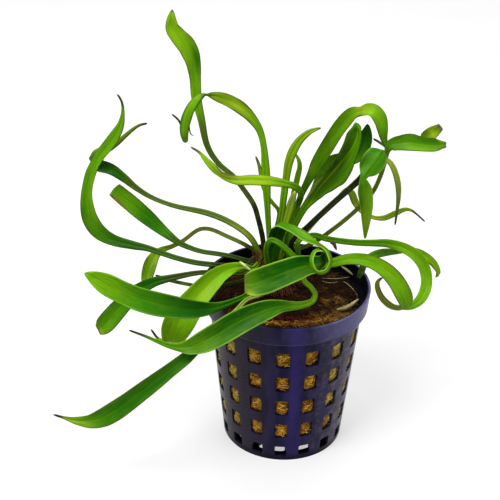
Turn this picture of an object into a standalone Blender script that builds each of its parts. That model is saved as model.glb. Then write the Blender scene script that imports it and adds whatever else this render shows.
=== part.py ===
"""Amazon sword plant growing from a plug of rock wool in a small slotted net pot, at life size.

Metres, +Z up. The origin is the middle of the pot's underside, on the surface that the pot stands on.
The pot's front faces -Y. Each leaf is one solid from its foot on the crown to its tip, petiole and
blade together. Pieces that touch are held a small gap apart.
"""

import math

import bmesh
import bpy
from mathutils import Matrix, Vector, noise

MM = 0.001
GAP = 0.3 * MM

# The net pot.
POT_HEIGHT = 56.6 * MM
BASE_RADIUS = 20.2 * MM
SHOULDER_RADIUS = 25.2 * MM
COLLAR_RADIUS = 26.9 * MM
RIM_RADIUS = 27.5 * MM
COLLAR_HEIGHT = 6.3 * MM
WALL = 1.1 * MM
COLUMNS = 16
COLUMN_TURN = math.radians(-92.5)
WINDOW_SPAN = math.radians(11.0)
WINDOW_HEIGHT = 6.1 * MM
WINDOW_PITCH = 10.0 * MM
FIRST_WINDOW = 9.85 * MM
WINDOW_ROWS = 4
FOOT_SLOT = (1.8 * MM, 5.9 * MM)
HUB_RADIUS = 7.0 * MM
FLOOR_RING_RADIUS = 17.0 * MM

# The plug of rock wool: (radius, height) up its tapered foot, the heights between which it fills the
# wall, its shoulder, and its lumpy dome.
WOOL_FOOT = ((6.4 * MM, WALL + GAP), (12.0 * MM, 3.0 * MM), (16.6 * MM, 7.0 * MM))
WOOL_SIDE = (11.0 * MM, 48.0 * MM)
WOOL_SHOULDER = (22.95 * MM, 50.6 * MM)
WOOL_DOME = ((20.0 * MM, 51.6 * MM), (12.0 * MM, 52.2 * MM), (5.0 * MM, 52.5 * MM))
WOOL_SIDES = 32
WOOL_CLEARANCE = 0.5 * MM
WOOL_LUMP = 0.7 * MM
WOOL_LUMP_SPACING = 7.0 * MM

# The crown on the plug: (share of its radius, share of its height) of each level, and how far its
# knobs stand out.
CROWN_CENTRE = (-3.5 * MM, 7.0 * MM)
CROWN_RADIUS = 6.4 * MM
CROWN_FOOT = 53.2 * MM
CROWN_TOP = 60.0 * MM
CROWN_LEVELS = ((0.75, 0.0), (1.0, 0.25), (0.95, 0.55), (0.80, 0.78), (0.50, 0.94))
CROWN_SIDES = 14
CROWN_KNOB = 0.10

# The rosette of leaf feet: (radius, height) of each ring about the crown's centre.
FOOT_RINGS = {
    "outer": (6.0 * MM, 58.4 * MM),
    "middle": (3.7 * MM, 60.6 * MM),
    "inner": (1.55 * MM, 61.4 * MM),
}
# How a foot leaves the crown: its rise for each unit outwards, the length of that first stretch, and
# the shares of the petiole's width at its two ends.
FOOT_RISE = 0.9
FOOT_LENGTH = 2.5 * MM
FOOT_TAPER = (0.9, 0.95)

# The leaves are laid out on a sketch seen from in front and above. A sketch point is (column, row,
# depth): a column and a row of the sketch, counted in SKETCH_SCALE points to the millimetre from its
# top left corner, and how far behind the pot's axis the leaf lies there, in millimetres.
EYE_DISTANCE = 400 * MM
EYE_PITCH = math.radians(29.6)
EYE_ROLL = math.radians(0.93)
SKETCH_CENTRE = (-12.1 * MM, 0.0, 69.1 * MM)
SKETCH_MIDDLE = 250
SKETCH_SCALE = 3.11

# A leaf's section: six-sided in the petiole, and a shallow channel in the blade. CHANNEL is the rise
# of its edges and CHANNEL_SINK the share of it that the middle sinks; INNER_CORNER places the corners
# between the middle and the edges. A channel deeper than that has steeper sides, so its blade is
# thicker up and down, to stay as thick across them.
PETIOLE_WIDTH = 2.2 * MM
BLADE_WIDTH = 4.0 * MM
BLADE_THICKNESS = 0.75 * MM
CHANNEL = 0.32
CHANNEL_SINK = 0.35
INNER_CORNER = 0.5
CORNER_ANGLE = math.radians(60)
SHARP_ANGLE = math.radians(40)
STATION_LENGTH = 9.0 * MM
STATION_TURN = math.radians(39)

# Each leaf: (ring of its foot, bearing of its foot in degrees, channel depth factor, points), and
# each point: (column, row, depth in mm, width in mm, roll in degrees). Roll 0 lays the blade flat
# to the sketch, 90 turns it edge on, and FOLD leaves it between its neighbours, where it folds over.
FOLD = None
LEAVES = {
    "leaf_tallest": ("middle", 140, 1.2, (
        (262.5, 237, 11, 1.7, 0), (258, 218, 12, 1.7, 0), (253.6, 204.4, 13, 1.7, 0),
        (244, 190, 15.5, 1.7, 0), (233.5, 176.5, 18, 1.7, 0), (218, 163, 21, 1.8, 0),
        (207, 145, 23, 2.0, 0), (201.3, 119, 25, 2.5, 0), (196.5, 98, 26, 3.3, 0),
        (195, 78, 27, 3.8, -10), (192, 60, 27.6, 5.2, -15), (186, 46, 28.2, 6.0, -10),
        (178, 36, 28.6, 5.3, 0), (172.3, 27.5, 28.8, 4.5, 0), (171.6, 18, 29, 2.8, 0),
        (172.4, 9.6, 29, 0.7, 0))),
    "leaf_crook": ("inner", 156, 0.9, (
        (269, 235, 9.5, 1.7, 0), (267.6, 209.5, 11.5, 2, 0), (266.5, 186, 13, 2.7, 0),
        (265.5, 167, 14.5, 2.7, 0), (264, 148, 16, 2.1, 0), (260, 131, 17.5, 2.3, 0),
        (251.5, 118, 18, 3.2, 0), (240, 107.5, 18, 4.1, 0), (227, 100, 17.5, 3.9, 0),
        (217, 96.6, 16.5, 3.1, 5), (210.5, 95.1, 15.9, 1.8, 30), (206.8, 94.9, 15.4, 0.9, 80),
        (203, 95.6, 15, 1.8, 125), (199, 98.2, 14.4, 2.6, 150), (194.2, 103, 13.8, 3.1, 160),
        (189.8, 109.5, 13, 3.3, 165), (186.4, 118, 12.4, 3.4, 170), (184.5, 127, 12, 3.1, 175),
        (184.3, 134.5, 12, 2.6, 180), (185.4, 140.4, 14, 1.7, FOLD), (184, 134, 16, 1.1, 0),
        (179.5, 121.5, 17, 0.7, 0), (171.9, 114.2, 18, 0.6, 0))),
    "leaf_upper_left": ("middle", 172, 1.0, (
        (250, 237, 9.5, 2.0, 0), (231, 223, 14, 2.0, 0), (207, 213, 18, 2.0, 0),
        (175, 206, 23, 1.6, 0), (153, 198, 27, 1.6, 0), (137, 188.5, 29, 2.0, 0),
        (124, 178, 31, 2.9, 0), (111.6, 169.5, 32.5, 3.8, 0), (99.5, 165.5, 34, 4.2, 0),
        (91.6, 159, 32.5, 3.8, FOLD), (97.5, 153, 30.2, 3.0, 180), (107, 149.5, 29.7, 2.4, 180),
        (117, 143, 29.5, 1.9, 180), (125, 136, 29.5, 1.5, 180), (133, 129.3, 30, 1.2, 180),
        (140, 125, 30, 0.9, 180), (147.3, 123.4, 30, 0.8, 180))),
    "leaf_wide_left": ("outer", 174, 1.0, (
        (244, 267, 6.2, 1.7, 0), (230, 266, 5.5, 1.8, 0), (213.5, 264.7, 5, 1.8, 0),
        (194, 262.3, 6, 1.8, 0), (175, 257.5, 7, 1.8, 0), (160.9, 252.7, 8, 1.9, 0),
        (146.5, 248, 9, 2.2, 0), (132, 245, 10, 2.9, 0), (113, 240, 11, 3.8, 0),
        (99, 231.5, 12, 5.0, 0), (90.5, 219, 13, 5.2, 0), (87.2, 205, 14, 4.4, 0),
        (87, 191, 15.5, 3.6, 0), (90, 176, 17, 3.5, 0), (95, 164.5, 18, 3.5, 15),
        (101, 154.5, 18.8, 3.7, 10), (108.5, 145, 19.5, 3.8, 0), (115.7, 134.5, 20, 3.4, 0),
        (120.6, 125, 20.3, 2.4, 0), (122.6, 115.5, 20.5, 1.4, 0), (122.8, 107, 20.7, 0.9, 0),
        (121, 100, 20.8, 0.7, 0), (117.2, 94.2, 21, 0.6, 0))),
    "leaf_mid_left": ("outer", 151, 1.0, (
        (249, 260.8, 9.6, 1.6, 0), (232.7, 256.7, 10, 1.6, 0), (218.9, 254, 11, 1.6, 0),
        (203.6, 251.8, 12.5, 1.6, 0), (192, 248.5, 14, 1.7, 0), (180, 243.3, 15, 2, 0),
        (171, 237, 16, 2.7, 0), (161, 229, 17.5, 3.8, 0), (150, 219.5, 19, 5, 0),
        (140, 211, 20, 5.5, 0), (130, 202.5, 21, 5.6, 0), (121, 195, 21.5, 5.4, 0),
        (114, 189, 21.5, 5.1, 0))),
    "leaf_bent_stalk": ("outer", 133, 1.0, (
        (255, 250.6, 15, 1.4, 0), (241.8, 243, 14, 1.4, 0), (226.5, 236, 17, 1.4, 0),
        (213, 230, 20, 1.4, 0), (204, 228.6, 22, 1.4, 0), (196, 231, 23, 1.4, 0),
        (183, 240.7, 23, 1.4, 0), (172, 246.3, 22.5, 1.6, 0), (162, 249.7, 21.5, 2.1, 0),
        (155.5, 255, 20, 3.2, 0), (151, 263, 18, 4.4, 0), (148, 273, 15.5, 4.3, 0),
        (146, 283, 13.5, 3.2, 0), (144.5, 290, 12.5, 1.6, 0), (143.5, 295, 12, 0.7, 0))),
    "leaf_low_fold": ("outer", 190, 1.0, (
        (243, 273, 3.5, 1.7, 0), (226, 273, 2, 1.6, 0), (206.8, 272.3, 1, 1.6, 0),
        (194.4, 273.3, 1, 1.7, 0), (180, 276, 0.5, 2, 0), (166, 279, 0, 2.5, 0),
        (154, 282, 0, 3.3, 0), (142, 288, -0.5, 4.2, 0), (131, 296.5, -1, 5.2, 0),
        (121, 306.5, -2, 6, 0), (112.5, 316, -3, 6.4, 0), (105.5, 324, -4, 6.2, 0),
        (101.5, 328, -4.3, 5, 0), (98, 330, -4.5, 3.4, 0))),
    "leaf_broad_left": ("outer", 221, 0.9, (
        (256.5, 286, -5.5, 1.8, 0), (249.5, 292.5, -9, 1.7, 0), (241.8, 297.7, -13, 1.7, 0),
        (226.5, 304, -18, 2.3, 0), (215, 307.5, -20.5, 3.2, 0), (205, 309, -22, 4.4, 0),
        (191, 309, -23, 6.0, 0), (174, 307, -23.5, 7.0, 0), (156, 303.6, -24, 7.5, 0),
        (139, 299, -24, 7.3, 0), (122, 292, -23.5, 7.0, 0), (107, 284.3, -23, 6.7, 0),
        (96, 278.5, -22.5, 4.8, 0), (88.5, 275, -22, 2.4, 0), (84.3, 273.3, -21.5, 0.7, 0))),
    "leaf_thin_stalk": ("outer", 205, 1.0, (
        (246, 279, -0.5, 1.3, 0), (225, 284.5, -4.5, 1.2, 0), (200, 286, -6, 1.2, 0),
        (188, 284.3, -3, 1.2, 0), (178, 282.3, 2, 1.2, 0), (168, 280, 6, 1.1, 0),
        (160, 277, 9.5, 1.0, 0), (155.5, 275.3, 12, 0.7, 0))),
    "leaf_left_arch": ("middle", 205, 1.0, (
        (253, 268.5, -1, 1.8, 0), (243, 266.5, -3, 2.5, 0), (232.7, 268, -4.5, 3.6, 0),
        (221, 273.5, -6.5, 5.2, 0), (210, 283, -8.5, 6.8, 0), (198, 296, -11, 7.8, 0),
        (188, 309, -13, 9.2, 0), (180.5, 320.5, -14.5, 9.9, 0), (174.5, 332, -16, 8.8, 0),
        (170.3, 341.5, -16.5, 6.0, FOLD), (166, 342, -13.5, 2.2, FOLD), (158.2, 338.7, -12.5, 1.0, 180),
        (151, 329.2, -12, 0.6, 180))),
    "leaf_front_curl": ("outer", 289, 0.6, (
        (276.5, 269.5, 0, 2.4, 0), (272.3, 259, -0.8, 4.2, 0), (274, 247, -2, 4.9, 0),
        (277, 234, -4, 5.2, 0), (281.5, 224.5, -7, 5.2, FOLD), (289, 226, -10, 4.6, FOLD),
        (299, 231.5, -13, 4.2, -138), (310.5, 239.5, -16, 4, -122), (319, 245.2, -19.5, 4, -104),
        (327.2, 252, -22, 4.2, -92), (329.8, 260.5, -23.5, 4.3, -90), (327.2, 269, -24.3, 4.3, -90),
        (320.8, 272.3, -24.5, 4.3, -90), (314.3, 268.7, -24.3, 4.3, -90),
        (311.8, 260.5, -23.7, 4.3, -90), (314.3, 253, -22.4, 4.3, -90),
        (320, 250.3, -21.2, 4.5, -88), (324.2, 253.6, -20.2, 4.8, -80), (325, 259, -19.3, 5.2, -66),
        (321.6, 263.3, -18.8, 5.8, -50), (315, 265.3, -19, 6.3, -36), (307, 266, -19.7, 6.6, -20),
        (296.5, 268.5, -20.8, 7.6, -5), (281, 274, -22, 8.2, 0), (264, 280.5, -22.5, 8.6, 0),
        (252, 283.5, -22.5, 7.8, 0), (244.5, 284, -22.5, 5.6, 0))),
    "leaf_front_long": ("outer", 256, 0.9, (
        (266.8, 258, -5, 1.6, 0), (266.6, 247, -6.8, 1.7, 0), (270.5, 240.3, -8, 1.7, 0),
        (277.5, 242, -9.5, 1.7, 0), (286, 248.5, -11, 1.7, 0), (294, 257, -12.2, 1.7, 0),
        (300, 268, -13, 1.7, 0), (304, 280.5, -13.5, 1.7, 0), (311, 287.6, -14.5, 1.7, 0),
        (315, 294.6, -16.5, 1.8, 0), (312, 301.2, -19.5, 2.0, 0), (303, 304.8, -22, 2.3, 0),
        (291.8, 306, -24, 2.9, 0), (281, 306.2, -26, 3.9, 0), (268, 309.3, -27.5, 5.9, 0),
        (252, 315.5, -29, 7.1, 0), (236, 323.5, -30, 7.7, 0), (220, 333, -31, 7.6, 0),
        (204, 341.5, -32, 6.9, 0), (190, 346.5, -32, 4.8, 0), (178, 347, -31.5, 2.7, 0),
        (164, 344, -31, 1.5, 0), (146, 336.5, -30, 0.9, 0), (129.1, 330.2, -29, 0.6, 0))),
    "leaf_lowest": ("outer", 238, 0.9, (
        (264, 292, -9, 1.6, 0), (247, 299.6, -16, 1.5, 0), (236, 310.8, -21.5, 1.6, 0),
        (222, 324.5, -25, 1.9, 0), (208, 338.5, -27, 2.4, 0), (197, 348.5, -28.5, 3.0, 0),
        (186, 358, -30, 3.9, 0), (171, 369.5, -31.5, 4.4, 0), (156, 381, -32.5, 5.1, 0),
        (142, 391.5, -33, 5.6, 0), (128, 402, -33.5, 6.0, 0), (114, 411.5, -34, 6.3, 0),
        (102, 418, -34, 5.8, 0), (90, 421.3, -33.5, 4.3, 0), (76, 420.7, -33, 2.5, 0),
        (65, 418, -32.5, 1.1, 0), (53.4, 414.6, -32, 0.6, 0))),
    "leaf_yellow_cross": ("inner", 300, 0.8, (
        (284, 240, 5.5, 1.7, 0), (291, 222, 6.5, 1.8, 0), (297.5, 206, 6.5, 1.9, 0),
        (301, 195, 4, 2.0, 0), (297.5, 188, 1.5, 2.1, 0), (287, 184, -1, 2.4, 0),
        (269, 181, -2, 3.2, 0), (252.8, 180, -2, 3.3, 0), (240, 180.5, -2, 3.0, 0),
        (229, 178.5, -1.5, 2.8, 40), (220, 174, -1, 2.6, 60), (213, 167.5, -1, 2.4, 20),
        (206, 160, -0.5, 1.7, 0), (199.5, 152.5, 0, 0.9, 0), (190.6, 147, 0, 0.6, 0))),
    "leaf_thin_back": ("inner", 84, 1.0, (
        (275, 235, 14.5, 1.3, 0), (279, 213, 16, 1.3, 0), (273.5, 204, 17, 1.3, 0),
        (268, 197, 18, 1.3, 0), (263.3, 187, 19, 1.4, 0), (260.8, 174, 20, 1.4, 0),
        (259, 165, 20.5, 1.1, 0), (255.6, 156, 21, 0.6, 0))),
    "leaf_upright_outer": ("inner", 228, 1.1, (
        (276.5, 238, 8, 1.8, 0), (281.5, 215, 9, 2.1, 0), (284, 195, 9.5, 2.3, 0),
        (286.4, 177, 10.5, 2.4, 0), (289, 162, 11, 2.8, 0), (293.5, 150, 11.5, 2.9, 0),
        (300, 140, 12, 2.5, 0), (309, 132.3, 12, 1.8, 0), (316, 129.3, 12, 1.1, 0),
        (321, 128, 12, 0.6, 0))),
    "leaf_upright_inner": ("inner", 12, 1.0, (
        (282, 235, 12, 1.7, 0), (288.5, 213, 13.5, 1.8, 0), (293.5, 195, 14.5, 1.9, 0),
        (297.3, 178, 15.5, 1.9, 0), (299.7, 167, 16, 1.6, 0), (298.5, 159.5, 16.5, 1.2, 0),
        (295, 153.5, 17, 0.6, 0))),
    "leaf_young": ("middle", 280, 1.0, (
        (280.5, 246, 1.5, 1.8, 0), (285, 226, 2.5, 2.0, 0), (289.7, 208, 3, 2.4, 0),
        (292.8, 198, 3.8, 2.1, 0), (295, 191, 4.5, 0.7, 0))),
    "leaf_big_arch": ("middle", 74, 1.0, (
        (283, 237, 15, 1.7, 0), (294.5, 212, 16.5, 1.9, 0), (302.5, 192, 17.5, 2.1, 0),
        (311, 175.5, 18.5, 3.0, 0), (317, 163.5, 19, 4.1, 0), (324.5, 151, 19, 4.6, 0),
        (331.5, 139.5, 18, 4.6, 0), (339, 128, 17, 4.6, 0), (347, 118.5, 15.5, 4.6, 0),
        (353.8, 113.2, 14.3, 4.0, 10), (359.8, 111.8, 13.2, 3.2, 20), (366, 110.3, 12, 3.9, 16),
        (373.5, 111.3, 10.5, 4.6, 10), (379.6, 118.5, 9.5, 4.4, 0), (382.4, 129, 9, 3.5, 0),
        (383.8, 138, 9.5, 2.4, 0), (385.8, 146, 11, 1.2, FOLD), (379.3, 142.2, 12.5, 0.8, 180),
        (373.2, 138.6, 13.2, 0.7, 180))),
    "leaf_keeled": ("outer", 334, 2.2, (
        (285, 247, 3.5, 1.9, 0), (294.5, 226, 3, 2, 0), (304, 209, 2.5, 2.2, -10),
        (312, 199, 2.2, 3.2, -22), (320, 188, 1.5, 4.8, -30), (328, 179, 0.8, 6.4, -34),
        (334.5, 172, 0.2, 7.4, -32), (340.5, 164.5, -0.5, 7.2, -24), (346, 157, -1.2, 6.2, -12),
        (350.5, 150, -1.8, 5.6, 2), (354, 143, -2.3, 5.4, 16), (356.5, 136, -2.5, 5.2, 28),
        (357.2, 129.5, -2.6, 4.2, 34), (355.5, 122.5, -2.6, 0.7, 34))),
    "leaf_dark_oval": ("middle", 38, 1.0, (
        (287.5, 236, 12, 1.7, 0), (301, 212, 13, 1.9, 0), (312.5, 193, 16, 2.2, 0),
        (321, 176, 21, 3.3, 0), (331, 162.5, 22.5, 4.2, 0), (343, 159, 20, 4.3, 0),
        (353, 157.5, 17.5, 4.5, 0), (360, 152, 16, 4.8, 0), (364.2, 143, 16, 4.7, 0),
        (366, 134.5, 16, 4.1, 0), (367.3, 128.5, 16, 2.3, 0), (367.6, 124, 16, 0.7, 0))),
    "leaf_nodding": ("outer", 10, 0.8, (
        (291, 244, 9, 1.9, 0), (306, 228.5, 11, 1.9, 0), (329, 207, 13, 2, 0),
        (352, 186.5, 14, 2.1, 0), (362.5, 177, 13, 2.6, 0), (374, 164, 10.5, 4.2, 0),
        (382, 154, 7.5, 5.6, FOLD), (380, 152.5, 3, 6.6, FOLD), (374.5, 160.5, -1, 7.6, 180),
        (367.8, 169.5, -3.4, 6, 180), (363.4, 176.8, -4.4, 2, 180), (363.6, 182.5, -4.8, 3, 180),
        (365.2, 191, -4.8, 4.6, 180), (366.4, 201, -4.5, 4.4, 180), (366.6, 212, -4, 3.7, 180),
        (366, 224, -3.5, 2.5, 180), (365, 238.5, -3, 0.7, 180))),
    "leaf_right_level": ("outer", 66, 1.0, (
        (291, 252, 17, 1.5, 0), (313, 243, 21, 1.5, 0), (333.8, 228.6, 24, 1.5, 0),
        (346, 219, 26.5, 1.5, 0), (358, 208.3, 28.5, 1.5, 0), (372, 193, 30, 1.5, 0),
        (379.5, 178.5, 31, 1.5, 0), (384.5, 163.5, 31, 1.5, 0), (387, 152, 31, 1.9, 0),
        (389.5, 146.5, 30.6, 3.4, 0), (394, 144.2, 30.3, 4.4, 0), (401, 143, 30, 5, 0),
        (410, 142.4, 29.2, 5.8, 0), (418, 143.7, 28.7, 5.2, 0), (427, 144.8, 28.3, 4.7, 0),
        (436, 145.2, 28, 4.2, 0), (442.5, 144.8, 27.5, 2.6, 0), (444.6, 145, 29.5, 2.2, FOLD),
        (437, 145, 31, 2.8, 180), (426, 144, 31.6, 3, 180), (419.5, 142.5, 32.2, 2.4, FOLD),
        (425, 138.5, 33, 4.2, 0), (432, 133, 33, 4.4, 0), (437, 129.5, 33, 3.4, 0),
        (440.8, 126.6, 33, 2.3, 0))),
    "leaf_right_droop": ("outer", 28, 1.0, (
        (297, 245, 14.5, 1.4, 0), (317, 219.5, 18, 1.4, 0), (340, 198, 22, 1.4, 0),
        (360, 179.5, 24, 1.5, 0), (374, 166, 25, 1.7, 0), (383, 159.5, 25, 1.7, 0),
        (390, 162.5, 24, 1.8, 0), (395, 172, 23, 2, 0), (398, 184, 22.5, 2, 0),
        (398.5, 197, 22, 1.6, 0), (397, 211, 21.5, 1, 0), (395, 225, 21, 0.6, 0))),
    "leaf_right_slim": ("outer", 46, 0.9, (
        (291, 240, 17, 1.4, 0), (307, 226.5, 22, 1.4, 0), (325, 210, 28, 1.4, 0),
        (339, 197, 32, 1.6, 0), (347, 190.5, 34, 2.2, 0), (352, 194, 35.5, 2.6, 0),
        (355, 201.5, 36, 2.6, 0), (361, 210, 36.5, 2, 0), (372, 217, 36, 1.4, 0),
        (384, 218, 35, 1.9, 0), (395, 213.5, 34, 2, 0), (404, 209.7, 33, 1.5, 0),
        (410.5, 210, 32.5, 1, 0), (416.5, 214, 32, 0.7, 0), (424.9, 221.7, 32, 0.6, 0))),
    "leaf_right_strap": ("outer", 316, 0.9, (
        (286, 261, -2, 1.9, 0), (300, 262, -4, 2.1, 0), (316, 264, -6, 2.4, 0),
        (332, 263, -7.5, 3.0, 0), (346, 259.5, -9, 3.4, 0), (360, 259.3, -10, 3.8, 0),
        (374, 263, -11, 4.3, 0), (386, 270.5, -12, 4.9, 0), (395, 280, -13, 5.3, 0),
        (401.5, 291, -14, 5.5, 0), (405, 300, -14, 5.2, 15), (403.5, 306, -14, 4.0, 55),
        (397.5, 308, -13.5, 3.2, 70), (389.5, 305.3, -13, 2.8, 60), (381.5, 297.5, -12.5, 2.2, 45),
        (377.3, 287, -12, 1.7, 30), (378.5, 280.5, -12, 1.1, 0), (382.8, 277.8, -12, 0.6, 0))),
    "leaf_right_spiral": ("outer", 352, 1.0, (
        (298, 242, 4, 1.8, 0), (312.9, 235.5, 7.5, 2, 0), (327, 238.8, 9, 2, 0),
        (341, 241, 10, 2, 0), (356.5, 242.6, 11, 2.1, 0), (372, 243, 11.5, 2.3, 0),
        (387, 243.3, 11, 2.8, 0), (400, 246.5, 10, 3.3, 0), (412, 252.5, 9, 3.7, 0),
        (421, 261.5, 8, 3.9, 0), (425.8, 273.5, 6.5, 3.8, 0), (425.8, 287, 4, 3.8, 0),
        (420.5, 299, 1, 3.4, 0), (411.5, 306, -1, 2.4, 0), (403.5, 307.8, -3, 1.4, 0),
        (399, 307.6, -4, 0.7, 0))),
    "leaf_rim_shoot": (None, 0, 1.0, (
        (358.5, 278.5, 3.5, 1.6, 0), (361.5, 271, 4, 2.2, 0), (365, 262.5, 5, 2.3, 0),
        (372, 256, 8, 2.5, 0), (383, 252.7, 13, 2.7, 0), (396, 251.5, 17.5, 2, 0),
        (408, 250.5, 19, 1.7, 0), (418, 252, 18.5, 2.4, 0), (428, 258, 17, 2.6, 0),
        (434.5, 264.5, 16, 2.4, 0), (438.4, 272.5, 15, 1.5, 0), (435.6, 277.4, 14.5, 0.8, 0))),
}

# Root strands that lie on the rock wool, and a dead scrap that hangs under a stalk: sketch points.
STRANDS = {
    "root_cream": (1.2 * MM, ((336.5, 309.5, -10.5), (344, 308.5, -9.8), (352, 304.5, -7.4),
                              (358.5, 299, -4.2))),
    "root_pale": (0.9 * MM, ((341.3, 266.3, 10.5), (346.8, 270, 10.0), (352.9, 275, 9.6))),
    "dead_stub": (1.2 * MM, ((330, 242.2, 7.0), (333.8, 243.8, 7.0), (336.4, 250, 6.9))),
}

# Base colours: (red, green, blue), linear.
NAVY = (0.030, 0.022, 0.110)
OCHRE = (0.230, 0.105, 0.030)
BROWN = (0.110, 0.045, 0.022)
GREEN = (0.090, 0.290, 0.015)
YELLOW_GREEN = (0.280, 0.440, 0.020)
DARK_GREEN = (0.025, 0.130, 0.012)
CREAM = (0.520, 0.400, 0.190)
YELLOW_LEAVES = {"leaf_yellow_cross", "leaf_right_strap", "leaf_right_droop", "leaf_right_slim",
                 "leaf_young", "leaf_left_arch", "leaf_upright_outer"}
DARK_LEAVES = {"leaf_dark_oval", "leaf_low_fold", "leaf_rim_shoot", "leaf_thin_stalk"}


def clear_scene():
    for obj in list(bpy.data.objects):
        bpy.data.objects.remove(obj, do_unlink=True)


def finish(name, colour, roughness):
    """A plain material of one colour."""
    material = bpy.data.materials.new(name)
    material.use_nodes = True
    shader = material.node_tree.nodes["Principled BSDF"]
    shader.inputs["Base Color"].default_value = (*colour, 1.0)
    shader.inputs["Roughness"].default_value = roughness
    shader.inputs["Metallic"].default_value = 0.0
    return material


def add_object(name, mesh_points, faces, material):
    """A named object from points and faces, with its faces turned outwards and shaded smooth."""
    mesh = bpy.data.meshes.new(name)
    mesh.from_pydata([tuple(point) for point in mesh_points], [], faces)
    shape = bmesh.new()
    shape.from_mesh(mesh)
    bmesh.ops.recalc_face_normals(shape, faces=shape.faces)
    shape.to_mesh(mesh)
    shape.free()
    mesh.shade_smooth()
    mesh.set_sharp_from_angle(angle=SHARP_ANGLE)
    mesh.materials.append(material)
    obj = bpy.data.objects.new(name, mesh)
    bpy.context.scene.collection.objects.link(obj)
    return obj


def around(radius, angle, height):
    return Vector((radius * math.cos(angle), radius * math.sin(angle), height))


def wall_radius(height):
    """Outer radius of the tapered wall below the collar."""
    shoulder = POT_HEIGHT - COLLAR_HEIGHT
    return BASE_RADIUS + (SHOULDER_RADIUS - BASE_RADIUS) * min(height / shoulder, 1.0)


# The pot


def pot_profile():
    """(radius, height, opening) up the pot's outside: the opening is in the band above that point."""
    shoulder = POT_HEIGHT - COLLAR_HEIGHT
    bottom, top = FOOT_SLOT
    rings = [(HUB_RADIUS, 0.0, "floor"), (FLOOR_RING_RADIUS, 0.0, None), (BASE_RADIUS, 0.0, None)]
    rings += [(wall_radius(bottom), bottom, "window"), (wall_radius(top), top, None)]
    for row in range(WINDOW_ROWS):
        low = FIRST_WINDOW + row * WINDOW_PITCH
        high = low + WINDOW_HEIGHT
        rings += [(wall_radius(low), low, "window"), (wall_radius(high), high, None)]
    rings += [(SHOULDER_RADIUS, shoulder, None), (COLLAR_RADIUS, shoulder, None)]
    rings += [(RIM_RADIUS, POT_HEIGHT, None)]
    return rings


def column_angles():
    """The edges of the windows all round, so that even bands hold a window and odd bands a rib."""
    pitch = math.tau / COLUMNS
    return [COLUMN_TURN + column * pitch + side * WINDOW_SPAN / 2
            for column in range(COLUMNS) for side in (-1, 1)]


def is_open(opening, band):
    if opening == "window":
        return band % 2 == 0
    if opening == "floor":
        return band % 4 != 1
    return False


def make_pot():
    """The pot's outer skin with its windows left out, thickened inwards to one solid wall."""
    angles = column_angles()
    rings = pot_profile()
    sides = len(angles)
    points = [Vector((0.0, 0.0, 0.0))]
    for radius, height, _ in rings:
        points += [around(radius, angle, height) for angle in angles]
    faces = [(0, 1 + (band + 1) % sides, 1 + band) for band in range(sides)]
    for level in range(len(rings) - 1):
        for band in range(sides):
            if is_open(rings[level][2], band):
                continue
            low = 1 + level * sides
            high = low + sides
            after = (band + 1) % sides
            faces.append((low + band, low + after, high + after, high + band))
    pot = add_object("pot", points, faces, finish("pot_plastic", NAVY, 0.25))
    wall = pot.modifiers.new("wall", "SOLIDIFY")
    wall.thickness = WALL
    wall.offset = -1.0
    wall.use_even_offset = True
    return pot


# The rock wool and the crown


def make_rock_wool():
    """The plug: a foot on the pot's hub, a side just clear of the wall, and a lumpy domed top."""
    sides = [(wall_radius(height) - WALL - WOOL_CLEARANCE, height) for height in WOOL_SIDE]
    profile = [*WOOL_FOOT, *sides, WOOL_SHOULDER, *WOOL_DOME]
    angles = [COLUMN_TURN + math.tau * side / WOOL_SIDES for side in range(WOOL_SIDES)]
    points = [Vector((0.0, 0.0, profile[0][1]))]
    for radius, height in profile:
        for angle in angles:
            point = around(radius, angle, height)
            if (radius, height) in WOOL_DOME:
                point.z += WOOL_LUMP * noise.noise(point / WOOL_LUMP_SPACING)
            points.append(point)
    points.append(Vector((0.0, 0.0, profile[-1][1])))
    faces = drum_faces(len(profile), WOOL_SIDES)
    return add_object("rock_wool", points, faces, finish("rock_wool", OCHRE, 0.95))


def drum_faces(levels, sides):
    """Faces of a drum whose first and last points are the middles of its two ends."""
    last = 1 + levels * sides
    faces = [(0, 1 + (side + 1) % sides, 1 + side) for side in range(sides)]
    for level in range(levels - 1):
        for side in range(sides):
            low = 1 + level * sides
            high = low + sides
            after = (side + 1) % sides
            faces.append((low + side, low + after, high + after, high + side))
    top = last - sides
    return faces + [(top + side, top + (side + 1) % sides, last) for side in range(sides)]


def make_crown():
    """The short rootstock that the leaves grow from: a knobbly drum with a domed top."""
    x, y = CROWN_CENTRE
    height = CROWN_TOP - CROWN_FOOT
    points = [Vector((x, y, CROWN_FOOT))]
    for share, rise in CROWN_LEVELS:
        for side in range(CROWN_SIDES):
            radius = CROWN_RADIUS * share * (1.0 - CROWN_KNOB * (side % 2))
            ring = around(radius, math.tau * side / CROWN_SIDES, CROWN_FOOT + height * rise)
            points.append(ring + Vector((x, y, 0.0)))
    points.append(Vector((x, y, CROWN_TOP)))
    faces = drum_faces(len(CROWN_LEVELS), CROWN_SIDES)
    return add_object("crown", points, faces, finish("crown", BROWN, 0.8))


# The leaves


def sketch_axes():
    """The sketch's right, up and towards-the-eye directions."""
    towards = Vector((0.0, -math.cos(EYE_PITCH), math.sin(EYE_PITCH)))
    turn = Matrix.Rotation(EYE_ROLL, 3, towards)
    right = turn @ Vector((1.0, 0.0, 0.0))
    return right, towards.cross(right), towards


def from_sketch(column, row, depth):
    """The point on the eye's line through a sketch point, as far behind the pot's axis as depth says."""
    right, up, towards = sketch_axes()
    centre = Vector(SKETCH_CENTRE)
    eye = centre + towards * EYE_DISTANCE
    on_sheet = (centre + right * ((column - SKETCH_MIDDLE) / SKETCH_SCALE * MM)
                + up * ((SKETCH_MIDDLE - row) / SKETCH_SCALE * MM))
    line = on_sheet - eye
    return eye + line * ((depth * MM - eye.y) / line.y)


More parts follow.
